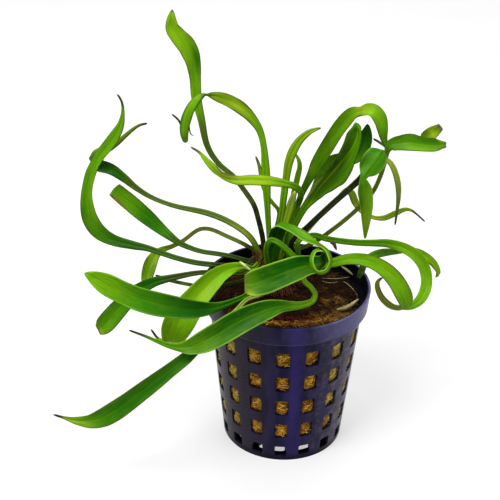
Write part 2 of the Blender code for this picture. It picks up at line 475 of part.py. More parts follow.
def foot_of(ring, bearing):
    """Where a leaf's foot stands on the crown, and the direction that it grows out in."""
    radius, height = FOOT_RINGS[ring]
    angle = math.radians(bearing)
    x, y = CROWN_CENTRE
    lean = radius / FOOT_RINGS["outer"][0]
    out = Vector((math.cos(angle) * lean, math.sin(angle) * lean, FOOT_RISE)).normalized()
    return Vector((x, y, 0.0)) + around(radius, angle, height), out


def tangents_of(points):
    """The direction of the line at each point, from its neighbours."""
    ends = [points[0], *points, points[-1]]
    return [(after - before).normalized() for before, after in zip(ends, ends[2:])]


def across_at(tangent, eye, roll):
    """The blade's width direction: square to the line, and turned by roll from flat to the sketch."""
    to_eye = (eye - tangent * eye.dot(tangent)).normalized()
    flat = tangent.cross(to_eye)
    angle = math.radians(roll)
    return flat * math.cos(angle) + to_eye * math.sin(angle)


def width_directions(points, rolls):
    """The width direction at each point. A folded point takes the mean of its neighbours."""
    _, _, eye = sketch_axes()
    tangents = tangents_of(points)
    found = [None if roll is FOLD else across_at(tangent, eye, roll)
             for tangent, roll in zip(tangents, rolls)]
    for index, direction in enumerate(found):
        if direction is None:
            before = next(found[i] for i in range(index - 1, -1, -1) if found[i] is not None)
            after = next(found[i] for i in range(index + 1, len(found)) if found[i] is not None)
            mean = before + after
            tangent = tangents[index]
            found[index] = (mean - tangent * mean.dot(tangent)).normalized()
    return found


def blend(before, start, end, after, share):
    """A smooth curve through four values, between the second and the third."""
    return 0.5 * ((2 * start) + (end - before) * share
                  + (2 * before - 5 * start + 4 * end - after) * share ** 2
                  + (3 * start - before - 3 * end + after) * share ** 3)


def stations_of(points, widths, directions):
    """Points along a smooth line, closer where it turns: (point, width, width direction)."""
    stations = []
    for index in range(len(points) - 1):
        ends = [max(index - 1, 0), index, index + 1, min(index + 2, len(points) - 1)]
        p0, p1, p2, p3 = (points[i] for i in ends)
        turn = (p2 - p1).angle(p3 - p2, 0.0) if ends[3] != ends[2] else 0.0
        steps = max(math.ceil((p2 - p1).length / STATION_LENGTH), math.ceil(turn / STATION_TURN), 1)
        for step in range(steps):
            share = step / steps
            width = widths[index] + (widths[index + 1] - widths[index]) * share
            across = directions[index].lerp(directions[index + 1], share)
            stations.append((blend(p0, p1, p2, p3, share), width, across))
    stations.append((points[-1], widths[-1], directions[-1]))
    return stations


def section_of(width, channel):
    """Six corners round a leaf's section, as (across, up) from its middle."""
    flat = min(max((width - PETIOLE_WIDTH) / (BLADE_WIDTH - PETIOLE_WIDTH), 0.0), 1.0)
    half = width / 2
    lift = half * CHANNEL * channel * flat
    thick = half * math.sin(CORNER_ANGLE) * (1 - flat) + BLADE_THICKNESS / 2 * max(channel, 1.0) * flat
    inner = half * INNER_CORNER
    sink = -lift * CHANNEL_SINK
    return [(-half, lift), (-inner, sink - thick), (inner, sink - thick),
            (half, lift), (inner, sink + thick), (-inner, sink + thick)]


def loft(name, stations, channel, material):
    """One closed solid of six-sided sections along the stations, with flat ends."""
    line = [point for point, _, _ in stations]
    points = []
    for (point, width, across), tangent in zip(stations, tangents_of(line)):
        across = (across - tangent * across.dot(tangent)).normalized()
        up = across.cross(tangent)
        points += [point + across * x + up * y for x, y in section_of(width, channel)]
    faces = [tuple(range(6)), tuple(range(len(points) - 6, len(points)))]
    for low in range(0, len(points) - 6, 6):
        for corner in range(6):
            after = (corner + 1) % 6
            faces.append((low + corner, low + after, low + 6 + after, low + 6 + corner))
    return add_object(name, points, faces, material)


def leaf_line(ring, bearing, route):
    """The points, widths and rolls of a leaf, from its foot on the crown to its tip."""
    points = [from_sketch(column, row, depth) for column, row, depth, _, _ in route]
    widths = [width * MM for _, _, _, width, _ in route]
    rolls = [roll for _, _, _, _, roll in route]
    if ring is not None:
        foot, out = foot_of(ring, bearing)
        points = [foot, foot + out * FOOT_LENGTH, *points]
        widths = [*(widths[0] * taper for taper in FOOT_TAPER), *widths]
        rolls = [rolls[0], rolls[0], *rolls]
    return points, widths, rolls


def make_leaf(name, ring, bearing, channel, route, material):
    points, widths, rolls = leaf_line(ring, bearing, route)
    stations = stations_of(points, widths, width_directions(points, rolls))
    return loft(name, stations, channel, material)


def make_leaves():
    green = finish("leaf_green", GREEN, 0.4)
    yellow = finish("leaf_yellow_green", YELLOW_GREEN, 0.4)
    dark = finish("leaf_dark_green", DARK_GREEN, 0.4)
    for name, (ring, bearing, channel, route) in LEAVES.items():
        material = yellow if name in YELLOW_LEAVES else dark if name in DARK_LEAVES else green
        make_leaf(name, ring, bearing, channel, route, material)


def make_strands():
    cream = finish("root", CREAM, 0.7)
    brown = finish("dead_stub", BROWN, 0.8)
    for name, (width, route) in STRANDS.items():
        points = [from_sketch(*point) for point in route]
        widths = [width] * len(points)
        directions = width_directions(points, [0] * len(points))
        material = brown if name == "dead_stub" else cream
        loft(name, stations_of(points, widths, directions), 1.0, material)


clear_scene()
make_pot()
make_rock_wool()
make_crown()
make_leaves()
make_strands()
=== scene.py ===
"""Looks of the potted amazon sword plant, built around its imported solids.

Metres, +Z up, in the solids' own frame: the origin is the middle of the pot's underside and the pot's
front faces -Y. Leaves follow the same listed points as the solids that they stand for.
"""

import math
import random

import bmesh
import bpy
from mathutils import Matrix, Vector, noise


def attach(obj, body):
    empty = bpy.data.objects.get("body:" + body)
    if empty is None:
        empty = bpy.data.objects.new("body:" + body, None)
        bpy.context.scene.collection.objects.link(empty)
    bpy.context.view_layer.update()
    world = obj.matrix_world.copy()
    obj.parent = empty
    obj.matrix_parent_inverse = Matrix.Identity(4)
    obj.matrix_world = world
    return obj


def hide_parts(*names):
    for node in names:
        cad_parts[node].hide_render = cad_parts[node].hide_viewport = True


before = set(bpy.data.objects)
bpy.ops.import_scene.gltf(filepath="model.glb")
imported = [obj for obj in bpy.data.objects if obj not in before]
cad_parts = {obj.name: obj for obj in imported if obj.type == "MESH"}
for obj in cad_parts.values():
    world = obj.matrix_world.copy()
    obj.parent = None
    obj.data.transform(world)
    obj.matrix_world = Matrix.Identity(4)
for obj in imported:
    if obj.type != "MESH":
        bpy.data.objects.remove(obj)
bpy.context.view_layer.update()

MM = 0.001
UP = Vector((0.0, 0.0, 1.0))

# The net pot.
POT_HEIGHT = 56.6 * MM
BASE_RADIUS = 20.2 * MM
SHOULDER_RADIUS = 25.2 * MM
COLLAR_RADIUS = 26.9 * MM
RIM_RADIUS = 27.5 * MM
COLLAR_HEIGHT = 6.3 * MM
SHOULDER_HEIGHT = POT_HEIGHT - COLLAR_HEIGHT
WALL = 1.1 * MM
COLUMNS = 16
COLUMN_PITCH = math.tau / COLUMNS
COLUMN_TURN = math.radians(-92.5)
WINDOW_SPAN = math.radians(11.0)
WINDOW_HEIGHT = 6.1 * MM
WINDOW_PITCH = 10.0 * MM
FIRST_WINDOW = 9.85 * MM
WINDOW_ROWS = 4
FOOT_SLOT = (1.8 * MM, 5.9 * MM)
HUB_RADIUS = 7.0 * MM
FLOOR_RING_RADIUS = 17.0 * MM

# The plug of rock wool and the crown that sits on it.
WOOL_TOP = 51.6 * MM
CROWN_CENTRE = Vector((-3.5 * MM, 7.0 * MM, 0.0))
CROWN_RADIUS = 6.4 * MM
CROWN_FOOT = 53.2 * MM
CROWN_TOP = 60.0 * MM
FOOT_RINGS = {
    "outer": (6.0 * MM, 58.4 * MM),
    "middle": (3.7 * MM, 60.6 * MM),
    "inner": (1.55 * MM, 61.4 * MM),
}

# The sketch that the leaves' points are placed on, seen from the eye that the camera stands at. A
# column and a row are counted in SKETCH_SCALE points to the millimetre from the sketch's top left.
EYE_DISTANCE = 400 * MM
EYE_PITCH = math.radians(29.6)
EYE_ROLL = math.radians(0.93)
SKETCH_CENTRE = Vector((-12.1 * MM, 0.0, 69.1 * MM))
SKETCH_MIDDLE = 250
SKETCH_SCALE = 3.11
SKETCH_SIDE = 500

# A leaf's section, and how finely it is drawn.
PETIOLE_WIDTH = 2.2 * MM
BLADE_WIDTH = 4.0 * MM
BLADE_THICKNESS = 0.5 * MM
CHANNEL = 0.32
TIP_WIDTH = 1.25 * MM
THREAD_WIDTH = 0.65 * MM
TIP_END = 0.25 * MM
BLUNT_WIDTH = 2.0 * MM
TIP_STAIN = 1.6 * MM
TIP_START = 0.6
BLADE_START = 0.55
BLADE_SHARE = 0.10
FINE_STEP = 1.1 * MM
FINE_TURN = math.radians(9)
ACROSS = (0.08, 0.2, 0.34, 0.5, 0.66, 0.82, 0.94)
VEINS = (0.36, 0.68)
FOOT_RISE = 0.9
FOOT_LENGTH = 2.5 * MM
FOOT_WIDTHS = (0.9, 0.95)
STEEP_CHANNEL = 2
FLANK_POWERS = (1.7, 1.15)
CHANNEL_FLOOR = 0.35
STALK_TOP = 0.62
STALK_UNDER = 0.92
STALK_GROOVE = (0.30, 0.35)
RIM_THICKNESS = 0.35
MIDRIB = (0.10 * MM, 0.38 * MM)
VEIN_RELIEF = (0.04 * MM, 0.06 * MM)
RIPPLES = ((0.22 * MM, 2.3 * MM), (0.12 * MM, 0.9 * MM))
STREAK_COUNT = 4.0

# Each leaf: (ring of its foot, bearing of its foot in degrees, channel depth factor, points), and
# each point: (column, row, depth in mm, width in mm, roll in degrees). Roll 0 lays the blade flat
# to the sketch, 90 turns it edge on, and FOLD leaves it between its neighbours, where it folds over.
FOLD = None
LEAVES = {
    "leaf_tallest": ("middle", 140, 1.2, (
        (262.5, 237, 11, 1.7, 0), (258, 218, 12, 1.7, 0), (253.6, 204.4, 13, 1.7, 0),
        (244, 190, 15.5, 1.7, 0), (233.5, 176.5, 18, 1.7, 0), (218, 163, 21, 1.8, 0),
        (207, 145, 23, 2.0, 0), (201.3, 119, 25, 2.5, 0), (196.5, 98, 26, 3.3, 0),
        (195, 78, 27, 3.8, -10), (192, 60, 27.6, 5.2, -15), (186, 46, 28.2, 6.0, -10),
        (178, 36, 28.6, 5.3, 0), (172.3, 27.5, 28.8, 4.5, 0), (171.6, 18, 29, 2.8, 0),
        (172.4, 9.6, 29, 0.7, 0))),
    "leaf_crook": ("inner", 156, 0.9, (
        (269, 235, 9.5, 1.7, 0), (267.6, 209.5, 11.5, 2, 0), (266.5, 186, 13, 2.7, 0),
        (265.5, 167, 14.5, 2.7, 0), (264, 148, 16, 2.1, 0), (260, 131, 17.5, 2.3, 0),
        (251.5, 118, 18, 3.2, 0), (240, 107.5, 18, 4.1, 0), (227, 100, 17.5, 3.9, 0),
        (217, 96.6, 16.5, 3.1, 5), (210.5, 95.1, 15.9, 1.8, 30), (206.8, 94.9, 15.4, 0.9, 80),
        (203, 95.6, 15, 1.8, 125), (199, 98.2, 14.4, 2.6, 150), (194.2, 103, 13.8, 3.1, 160),
        (189.8, 109.5, 13, 3.3, 165), (186.4, 118, 12.4, 3.4, 170), (184.5, 127, 12, 3.1, 175),
        (184.3, 134.5, 12, 2.6, 180), (185.4, 140.4, 14, 1.7, FOLD), (184, 134, 16, 1.1, 0),
        (179.5, 121.5, 17, 0.7, 0), (171.9, 114.2, 18, 0.6, 0))),
    "leaf_upper_left": ("middle", 172, 1.0, (
        (250, 237, 9.5, 2.0, 0), (231, 223, 14, 2.0, 0), (207, 213, 18, 2.0, 0),
        (175, 206, 23, 1.6, 0), (153, 198, 27, 1.6, 0), (137, 188.5, 29, 2.0, 0),
        (124, 178, 31, 2.9, 0), (111.6, 169.5, 32.5, 3.8, 0), (99.5, 165.5, 34, 4.2, 0),
        (91.6, 159, 32.5, 3.8, FOLD), (97.5, 153, 30.2, 3.0, 180), (107, 149.5, 29.7, 2.4, 180),
        (117, 143, 29.5, 1.9, 180), (125, 136, 29.5, 1.5, 180), (133, 129.3, 30, 1.2, 180),
        (140, 125, 30, 0.9, 180), (147.3, 123.4, 30, 0.8, 180))),
    "leaf_wide_left": ("outer", 174, 1.0, (
        (244, 267, 6.2, 1.7, 0), (230, 266, 5.5, 1.8, 0), (213.5, 264.7, 5, 1.8, 0),
        (194, 262.3, 6, 1.8, 0), (175, 257.5, 7, 1.8, 0), (160.9, 252.7, 8, 1.9, 0),
        (146.5, 248, 9, 2.2, 0), (132, 245, 10, 2.9, 0), (113, 240, 11, 3.8, 0),
        (99, 231.5, 12, 5.0, 0), (90.5, 219, 13, 5.2, 0), (87.2, 205, 14, 4.4, 0),
        (87, 191, 15.5, 3.6, 0), (90, 176, 17, 3.5, 0), (95, 164.5, 18, 3.5, 15),
        (101, 154.5, 18.8, 3.7, 10), (108.5, 145, 19.5, 3.8, 0), (115.7, 134.5, 20, 3.4, 0),
        (120.6, 125, 20.3, 2.4, 0), (122.6, 115.5, 20.5, 1.4, 0), (122.8, 107, 20.7, 0.9, 0),
        (121, 100, 20.8, 0.7, 0), (117.2, 94.2, 21, 0.6, 0))),
    "leaf_mid_left": ("outer", 151, 1.0, (
        (249, 260.8, 9.6, 1.6, 0), (232.7, 256.7, 10, 1.6, 0), (218.9, 254, 11, 1.6, 0),
        (203.6, 251.8, 12.5, 1.6, 0), (192, 248.5, 14, 1.7, 0), (180, 243.3, 15, 2, 0),
        (171, 237, 16, 2.7, 0), (161, 229, 17.5, 3.8, 0), (150, 219.5, 19, 5, 0),
        (140, 211, 20, 5.5, 0), (130, 202.5, 21, 5.6, 0), (121, 195, 21.5, 5.4, 0),
        (114, 189, 21.5, 5.1, 0))),
    "leaf_bent_stalk": ("outer", 133, 1.0, (
        (255, 250.6, 15, 1.4, 0), (241.8, 243, 14, 1.4, 0), (226.5, 236, 17, 1.4, 0),
        (213, 230, 20, 1.4, 0), (204, 228.6, 22, 1.4, 0), (196, 231, 23, 1.4, 0),
        (183, 240.7, 23, 1.4, 0), (172, 246.3, 22.5, 1.6, 0), (162, 249.7, 21.5, 2.1, 0),
        (155.5, 255, 20, 3.2, 0), (151, 263, 18, 4.4, 0), (148, 273, 15.5, 4.3, 0),
        (146, 283, 13.5, 3.2, 0), (144.5, 290, 12.5, 1.6, 0), (143.5, 295, 12, 0.7, 0))),
    "leaf_low_fold": ("outer", 190, 1.0, (
        (243, 273, 3.5, 1.7, 0), (226, 273, 2, 1.6, 0), (206.8, 272.3, 1, 1.6, 0),
        (194.4, 273.3, 1, 1.7, 0), (180, 276, 0.5, 2, 0), (166, 279, 0, 2.5, 0),
        (154, 282, 0, 3.3, 0), (142, 288, -0.5, 4.2, 0), (131, 296.5, -1, 5.2, 0),
        (121, 306.5, -2, 6, 0), (112.5, 316, -3, 6.4, 0), (105.5, 324, -4, 6.2, 0),
        (101.5, 328, -4.3, 5, 0), (98, 330, -4.5, 3.4, 0))),
    "leaf_broad_left": ("outer", 221, 0.9, (
        (256.5, 286, -5.5, 1.8, 0), (249.5, 292.5, -9, 1.7, 0), (241.8, 297.7, -13, 1.7, 0),
        (226.5, 304, -18, 2.3, 0), (215, 307.5, -20.5, 3.2, 0), (205, 309, -22, 4.4, 0),
        (191, 309, -23, 6.0, 0), (174, 307, -23.5, 7.0, 0), (156, 303.6, -24, 7.5, 0),
        (139, 299, -24, 7.3, 0), (122, 292, -23.5, 7.0, 0), (107, 284.3, -23, 6.7, 0),
        (96, 278.5, -22.5, 4.8, 0), (88.5, 275, -22, 2.4, 0), (84.3, 273.3, -21.5, 0.7, 0))),
    "leaf_thin_stalk": ("outer", 205, 1.0, (
        (246, 279, -0.5, 1.3, 0), (225, 284.5, -4.5, 1.2, 0), (200, 286, -6, 1.2, 0),
        (188, 284.3, -3, 1.2, 0), (178, 282.3, 2, 1.2, 0), (168, 280, 6, 1.1, 0),
        (160, 277, 9.5, 1.0, 0), (155.5, 275.3, 12, 0.7, 0))),
    "leaf_left_arch": ("middle", 205, 1.0, (
        (253, 268.5, -1, 1.8, 0), (243, 266.5, -3, 2.5, 0), (232.7, 268, -4.5, 3.6, 0),
        (221, 273.5, -6.5, 5.2, 0), (210, 283, -8.5, 6.8, 0), (198, 296, -11, 7.8, 0),
        (188, 309, -13, 9.2, 0), (180.5, 320.5, -14.5, 9.9, 0), (174.5, 332, -16, 8.8, 0),
        (170.3, 341.5, -16.5, 6.0, FOLD), (166, 342, -13.5, 2.2, FOLD), (158.2, 338.7, -12.5, 1.0, 180),
        (151, 329.2, -12, 0.6, 180))),
    "leaf_front_curl": ("outer", 289, 0.6, (
        (276.5, 269.5, 0, 2.4, 0), (272.3, 259, -0.8, 4.2, 0), (274, 247, -2, 4.9, 0),
        (277, 234, -4, 5.2, 0), (281.5, 224.5, -7, 5.2, FOLD), (289, 226, -10, 4.6, FOLD),
        (299, 231.5, -13, 4.2, -138), (310.5, 239.5, -16, 4, -122), (319, 245.2, -19.5, 4, -104),
        (327.2, 252, -22, 4.2, -92), (329.8, 260.5, -23.5, 4.3, -90), (327.2, 269, -24.3, 4.3, -90),
        (320.8, 272.3, -24.5, 4.3, -90), (314.3, 268.7, -24.3, 4.3, -90),
        (311.8, 260.5, -23.7, 4.3, -90), (314.3, 253, -22.4, 4.3, -90),
        (320, 250.3, -21.2, 4.5, -88), (324.2, 253.6, -20.2, 4.8, -80), (325, 259, -19.3, 5.2, -66),
        (321.6, 263.3, -18.8, 5.8, -50), (315, 265.3, -19, 6.3, -36), (307, 266, -19.7, 6.6, -20),
        (296.5, 268.5, -20.8, 7.6, -5), (281, 274, -22, 8.2, 0), (264, 280.5, -22.5, 8.6, 0),
        (252, 283.5, -22.5, 7.8, 0), (244.5, 284, -22.5, 5.6, 0))),
    "leaf_front_long": ("outer", 256, 0.9, (
        (266.8, 258, -5, 1.6, 0), (266.6, 247, -6.8, 1.7, 0), (270.5, 240.3, -8, 1.7, 0),
        (277.5, 242, -9.5, 1.7, 0), (286, 248.5, -11, 1.7, 0), (294, 257, -12.2, 1.7, 0),
        (300, 268, -13, 1.7, 0), (304, 280.5, -13.5, 1.7, 0), (311, 287.6, -14.5, 1.7, 0),
        (315, 294.6, -16.5, 1.8, 0), (312, 301.2, -19.5, 2.0, 0), (303, 304.8, -22, 2.3, 0),
        (291.8, 306, -24, 2.9, 0), (281, 306.2, -26, 3.9, 0), (268, 309.3, -27.5, 5.9, 0),
        (252, 315.5, -29, 7.1, 0), (236, 323.5, -30, 7.7, 0), (220, 333, -31, 7.6, 0),
        (204, 341.5, -32, 6.9, 0), (190, 346.5, -32, 4.8, 0), (178, 347, -31.5, 2.7, 0),
        (164, 344, -31, 1.5, 0), (146, 336.5, -30, 0.9, 0), (129.1, 330.2, -29, 0.6, 0))),
    "leaf_lowest": ("outer", 238, 0.9, (
        (264, 292, -9, 1.6, 0), (247, 299.6, -16, 1.5, 0), (236, 310.8, -21.5, 1.6, 0),
        (222, 324.5, -25, 1.9, 0), (208, 338.5, -27, 2.4, 0), (197, 348.5, -28.5, 3.0, 0),
        (186, 358, -30, 3.9, 0), (171, 369.5, -31.5, 4.4, 0), (156, 381, -32.5, 5.1, 0),
        (142, 391.5, -33, 5.6, 0), (128, 402, -33.5, 6.0, 0), (114, 411.5, -34, 6.3, 0),
        (102, 418, -34, 5.8, 0), (90, 421.3, -33.5, 4.3, 0), (76, 420.7, -33, 2.5, 0),
        (65, 418, -32.5, 1.1, 0), (53.4, 414.6, -32, 0.6, 0))),
    "leaf_yellow_cross": ("inner", 300, 0.8, (
        (284, 240, 5.5, 1.7, 0), (291, 222, 6.5, 1.8, 0), (297.5, 206, 6.5, 1.9, 0),
        (301, 195, 4, 2.0, 0), (297.5, 188, 1.5, 2.1, 0), (287, 184, -1, 2.4, 0),
        (269, 181, -2, 3.2, 0), (252.8, 180, -2, 3.3, 0), (240, 180.5, -2, 3.0, 0),
        (229, 178.5, -1.5, 2.8, 40), (220, 174, -1, 2.6, 60), (213, 167.5, -1, 2.4, 20),
        (206, 160, -0.5, 1.7, 0), (199.5, 152.5, 0, 0.9, 0), (190.6, 147, 0, 0.6, 0))),
    "leaf_thin_back": ("inner", 84, 1.0, (
        (275, 235, 14.5, 1.3, 0), (279, 213, 16, 1.3, 0), (273.5, 204, 17, 1.3, 0),
        (268, 197, 18, 1.3, 0), (263.3, 187, 19, 1.4, 0), (260.8, 174, 20, 1.4, 0),
        (259, 165, 20.5, 1.1, 0), (255.6, 156, 21, 0.6, 0))),
    "leaf_upright_outer": ("inner", 228, 1.1, (
        (276.5, 238, 8, 1.8, 0), (281.5, 215, 9, 2.1, 0), (284, 195, 9.5, 2.3, 0),
        (286.4, 177, 10.5, 2.4, 0), (289, 162, 11, 2.8, 0), (293.5, 150, 11.5, 2.9, 0),
        (300, 140, 12, 2.5, 0), (309, 132.3, 12, 1.8, 0), (316, 129.3, 12, 1.1, 0),
        (321, 128, 12, 0.6, 0))),
    "leaf_upright_inner": ("inner", 12, 1.0, (
        (282, 235, 12, 1.7, 0), (288.5, 213, 13.5, 1.8, 0), (293.5, 195, 14.5, 1.9, 0),
        (297.3, 178, 15.5, 1.9, 0), (299.7, 167, 16, 1.6, 0), (298.5, 159.5, 16.5, 1.2, 0),
        (295, 153.5, 17, 0.6, 0))),
    "leaf_young": ("middle", 280, 1.0, (
        (280.5, 246, 1.5, 1.8, 0), (285, 226, 2.5, 2.0, 0), (289.7, 208, 3, 2.4, 0),
        (292.8, 198, 3.8, 2.1, 0), (295, 191, 4.5, 0.7, 0))),
    "leaf_big_arch": ("middle", 74, 1.0, (
        (283, 237, 15, 1.7, 0), (294.5, 212, 16.5, 1.9, 0), (302.5, 192, 17.5, 2.1, 0),
        (311, 175.5, 18.5, 3.0, 0), (317, 163.5, 19, 4.1, 0), (324.5, 151, 19, 4.6, 0),
        (331.5, 139.5, 18, 4.6, 0), (339, 128, 17, 4.6, 0), (347, 118.5, 15.5, 4.6, 0),
        (353.8, 113.2, 14.3, 4.0, 10), (359.8, 111.8, 13.2, 3.2, 20), (366, 110.3, 12, 3.9, 16),
        (373.5, 111.3, 10.5, 4.6, 10), (379.6, 118.5, 9.5, 4.4, 0), (382.4, 129, 9, 3.5, 0),
        (383.8, 138, 9.5, 2.4, 0), (385.8, 146, 11, 1.2, FOLD), (379.3, 142.2, 12.5, 0.8, 180),
        (373.2, 138.6, 13.2, 0.7, 180))),
    "leaf_keeled": ("outer", 334, 2.2, (
        (285, 247, 3.5, 1.9, 0), (294.5, 226, 3, 2, 0), (304, 209, 2.5, 2.2, -10),
        (312, 199, 2.2, 3.2, -22), (320, 188, 1.5, 4.8, -30), (328, 179, 0.8, 6.4, -34),
        (334.5, 172, 0.2, 7.4, -32), (340.5, 164.5, -0.5, 7.2, -24), (346, 157, -1.2, 6.2, -12),
        (350.5, 150, -1.8, 5.6, 2), (354, 143, -2.3, 5.4, 16), (356.5, 136, -2.5, 5.2, 28),
        (357.2, 129.5, -2.6, 4.2, 34), (355.5, 122.5, -2.6, 0.7, 34))),
    "leaf_dark_oval": ("middle", 38, 1.0, (
        (287.5, 236, 12, 1.7, 0), (301, 212, 13, 1.9, 0), (312.5, 193, 16, 2.2, 0),
        (321, 176, 21, 3.3, 0), (331, 162.5, 22.5, 4.2, 0), (343, 159, 20, 4.3, 0),
        (353, 157.5, 17.5, 4.5, 0), (360, 152, 16, 4.8, 0), (364.2, 143, 16, 4.7, 0),
        (366, 134.5, 16, 4.1, 0), (367.3, 128.5, 16, 2.3, 0), (367.6, 124, 16, 0.7, 0))),
    "leaf_nodding": ("outer", 10, 0.8, (
        (291, 244, 9, 1.9, 0), (306, 228.5, 11, 1.9, 0), (329, 207, 13, 2, 0),
        (352, 186.5, 14, 2.1, 0), (362.5, 177, 13, 2.6, 0), (374, 164, 10.5, 4.2, 0),
        (382, 154, 7.5, 5.6, FOLD), (380, 152.5, 3, 6.6, FOLD), (374.5, 160.5, -1, 7.6, 180),
        (367.8, 169.5, -3.4, 6, 180), (363.4, 176.8, -4.4, 2, 180), (363.6, 182.5, -4.8, 3, 180),
        (365.2, 191, -4.8, 4.6, 180), (366.4, 201, -4.5, 4.4, 180), (366.6, 212, -4, 3.7, 180),
        (366, 224, -3.5, 2.5, 180), (365, 238.5, -3, 0.7, 180))),
    "leaf_right_level": ("outer", 66, 1.0, (
        (291, 252, 17, 1.5, 0), (313, 243, 21, 1.5, 0), (333.8, 228.6, 24, 1.5, 0),
        (346, 219, 26.5, 1.5, 0), (358, 208.3, 28.5, 1.5, 0), (372, 193, 30, 1.5, 0),
        (379.5, 178.5, 31, 1.5, 0), (384.5, 163.5, 31, 1.5, 0), (387, 152, 31, 1.9, 0),
        (389.5, 146.5, 30.6, 3.4, 0), (394, 144.2, 30.3, 4.4, 0), (401, 143, 30, 5, 0),
        (410, 142.4, 29.2, 5.8, 0), (418, 143.7, 28.7, 5.2, 0), (427, 144.8, 28.3, 4.7, 0),
        (436, 145.2, 28, 4.2, 0), (442.5, 144.8, 27.5, 2.6, 0), (444.6, 145, 29.5, 2.2, FOLD),
        (437, 145, 31, 2.8, 180), (426, 144, 31.6, 3, 180), (419.5, 142.5, 32.2, 2.4, FOLD),
        (425, 138.5, 33, 4.2, 0), (432, 133, 33, 4.4, 0), (437, 129.5, 33, 3.4, 0),
        (440.8, 126.6, 33, 2.3, 0))),
    "leaf_right_droop": ("outer", 28, 1.0, (
        (297, 245, 14.5, 1.4, 0), (317, 219.5, 18, 1.4, 0), (340, 198, 22, 1.4, 0),
        (360, 179.5, 24, 1.5, 0), (374, 166, 25, 1.7, 0), (383, 159.5, 25, 1.7, 0),
        (390, 162.5, 24, 1.8, 0), (395, 172, 23, 2, 0), (398, 184, 22.5, 2, 0),
        (398.5, 197, 22, 1.6, 0), (397, 211, 21.5, 1, 0), (395, 225, 21, 0.6, 0))),
    "leaf_right_slim": ("outer", 46, 0.9, (
        (291, 240, 17, 1.4, 0), (307, 226.5, 22, 1.4, 0), (325, 210, 28, 1.4, 0),
        (339, 197, 32, 1.6, 0), (347, 190.5, 34, 2.2, 0), (352, 194, 35.5, 2.6, 0),
        (355, 201.5, 36, 2.6, 0), (361, 210, 36.5, 2, 0), (372, 217, 36, 1.4, 0),
        (384, 218, 35, 1.9, 0), (395, 213.5, 34, 2, 0), (404, 209.7, 33, 1.5, 0),
        (410.5, 210, 32.5, 1, 0), (416.5, 214, 32, 0.7, 0), (424.9, 221.7, 32, 0.6, 0))),
    "leaf_right_strap": ("outer", 316, 0.9, (
        (286, 261, -2, 1.9, 0), (300, 262, -4, 2.1, 0), (316, 264, -6, 2.4, 0),
        (332, 263, -7.5, 3.0, 0), (346, 259.5, -9, 3.4, 0), (360, 259.3, -10, 3.8, 0),
        (374, 263, -11, 4.3, 0), (386, 270.5, -12, 4.9, 0), (395, 280, -13, 5.3, 0),
        (401.5, 291, -14, 5.5, 0), (405, 300, -14, 5.2, 15), (403.5, 306, -14, 4.0, 55),
        (397.5, 308, -13.5, 3.2, 70), (389.5, 305.3, -13, 2.8, 60), (381.5, 297.5, -12.5, 2.2, 45),
        (377.3, 287, -12, 1.7, 30), (378.5, 280.5, -12, 1.1, 0), (382.8, 277.8, -12, 0.6, 0))),
    "leaf_right_spiral": ("outer", 352, 1.0, (
        (298, 242, 4, 1.8, 0), (312.9, 235.5, 7.5, 2, 0), (327, 238.8, 9, 2, 0),
        (341, 241, 10, 2, 0), (356.5, 242.6, 11, 2.1, 0), (372, 243, 11.5, 2.3, 0),
        (387, 243.3, 11, 2.8, 0), (400, 246.5, 10, 3.3, 0), (412, 252.5, 9, 3.7, 0),
        (421, 261.5, 8, 3.9, 0), (425.8, 273.5, 6.5, 3.8, 0), (425.8, 287, 4, 3.8, 0),
        (420.5, 299, 1, 3.4, 0), (411.5, 306, -1, 2.4, 0), (403.5, 307.8, -3, 1.4, 0),
        (399, 307.6, -4, 0.7, 0))),
    "leaf_rim_shoot": (None, 0, 1.0, (
        (358.5, 278.5, 3.5, 1.6, 0), (361.5, 271, 4, 2.2, 0), (365, 262.5, 5, 2.3, 0),
        (372, 256, 8, 2.5, 0), (383, 252.7, 13, 2.7, 0), (396, 251.5, 17.5, 2, 0),
        (408, 250.5, 19, 1.7, 0), (418, 252, 18.5, 2.4, 0), (428, 258, 17, 2.6, 0),
        (434.5, 264.5, 16, 2.4, 0), (438.4, 272.5, 15, 1.5, 0), (435.6, 277.4, 14.5, 0.8, 0))),
}

# Colours of the leaves. Every colour is (red, green, blue), linear.
OLIVE = (0.090, 0.122, 0.014)
DARK_OLIVE = (0.040, 0.055, 0.008)
PINE = (0.045, 0.092, 0.012)
HOLLY = (0.066, 0.107, 0.013)
BARK = (0.018, 0.016, 0.008)
DEEP = (0.006, 0.070, 0.001)
MOSS = (0.020, 0.108, 0.002)
RICH = (0.028, 0.135, 0.001)
LEAF = (0.062, 0.180, 0.002)
FRESH = (0.100, 0.238, 0.003)
CITRON = (0.138, 0.232, 0.007)
MEADOW = (0.120, 0.275, 0.003)
LIME = (0.170, 0.325, 0.005)
GLOW = (0.190, 0.302, 0.011)
YELLOW = (0.340, 0.400, 0.020)
PALE = (0.200, 0.250, 0.048)
MARGIN = (0.240, 0.380, 0.050)
STRAW = (0.300, 0.270, 0.060)
BROWN = (0.120, 0.052, 0.018)
GREY = (0.085, 0.075, 0.045)
DARK = (0.035, 0.032, 0.018)

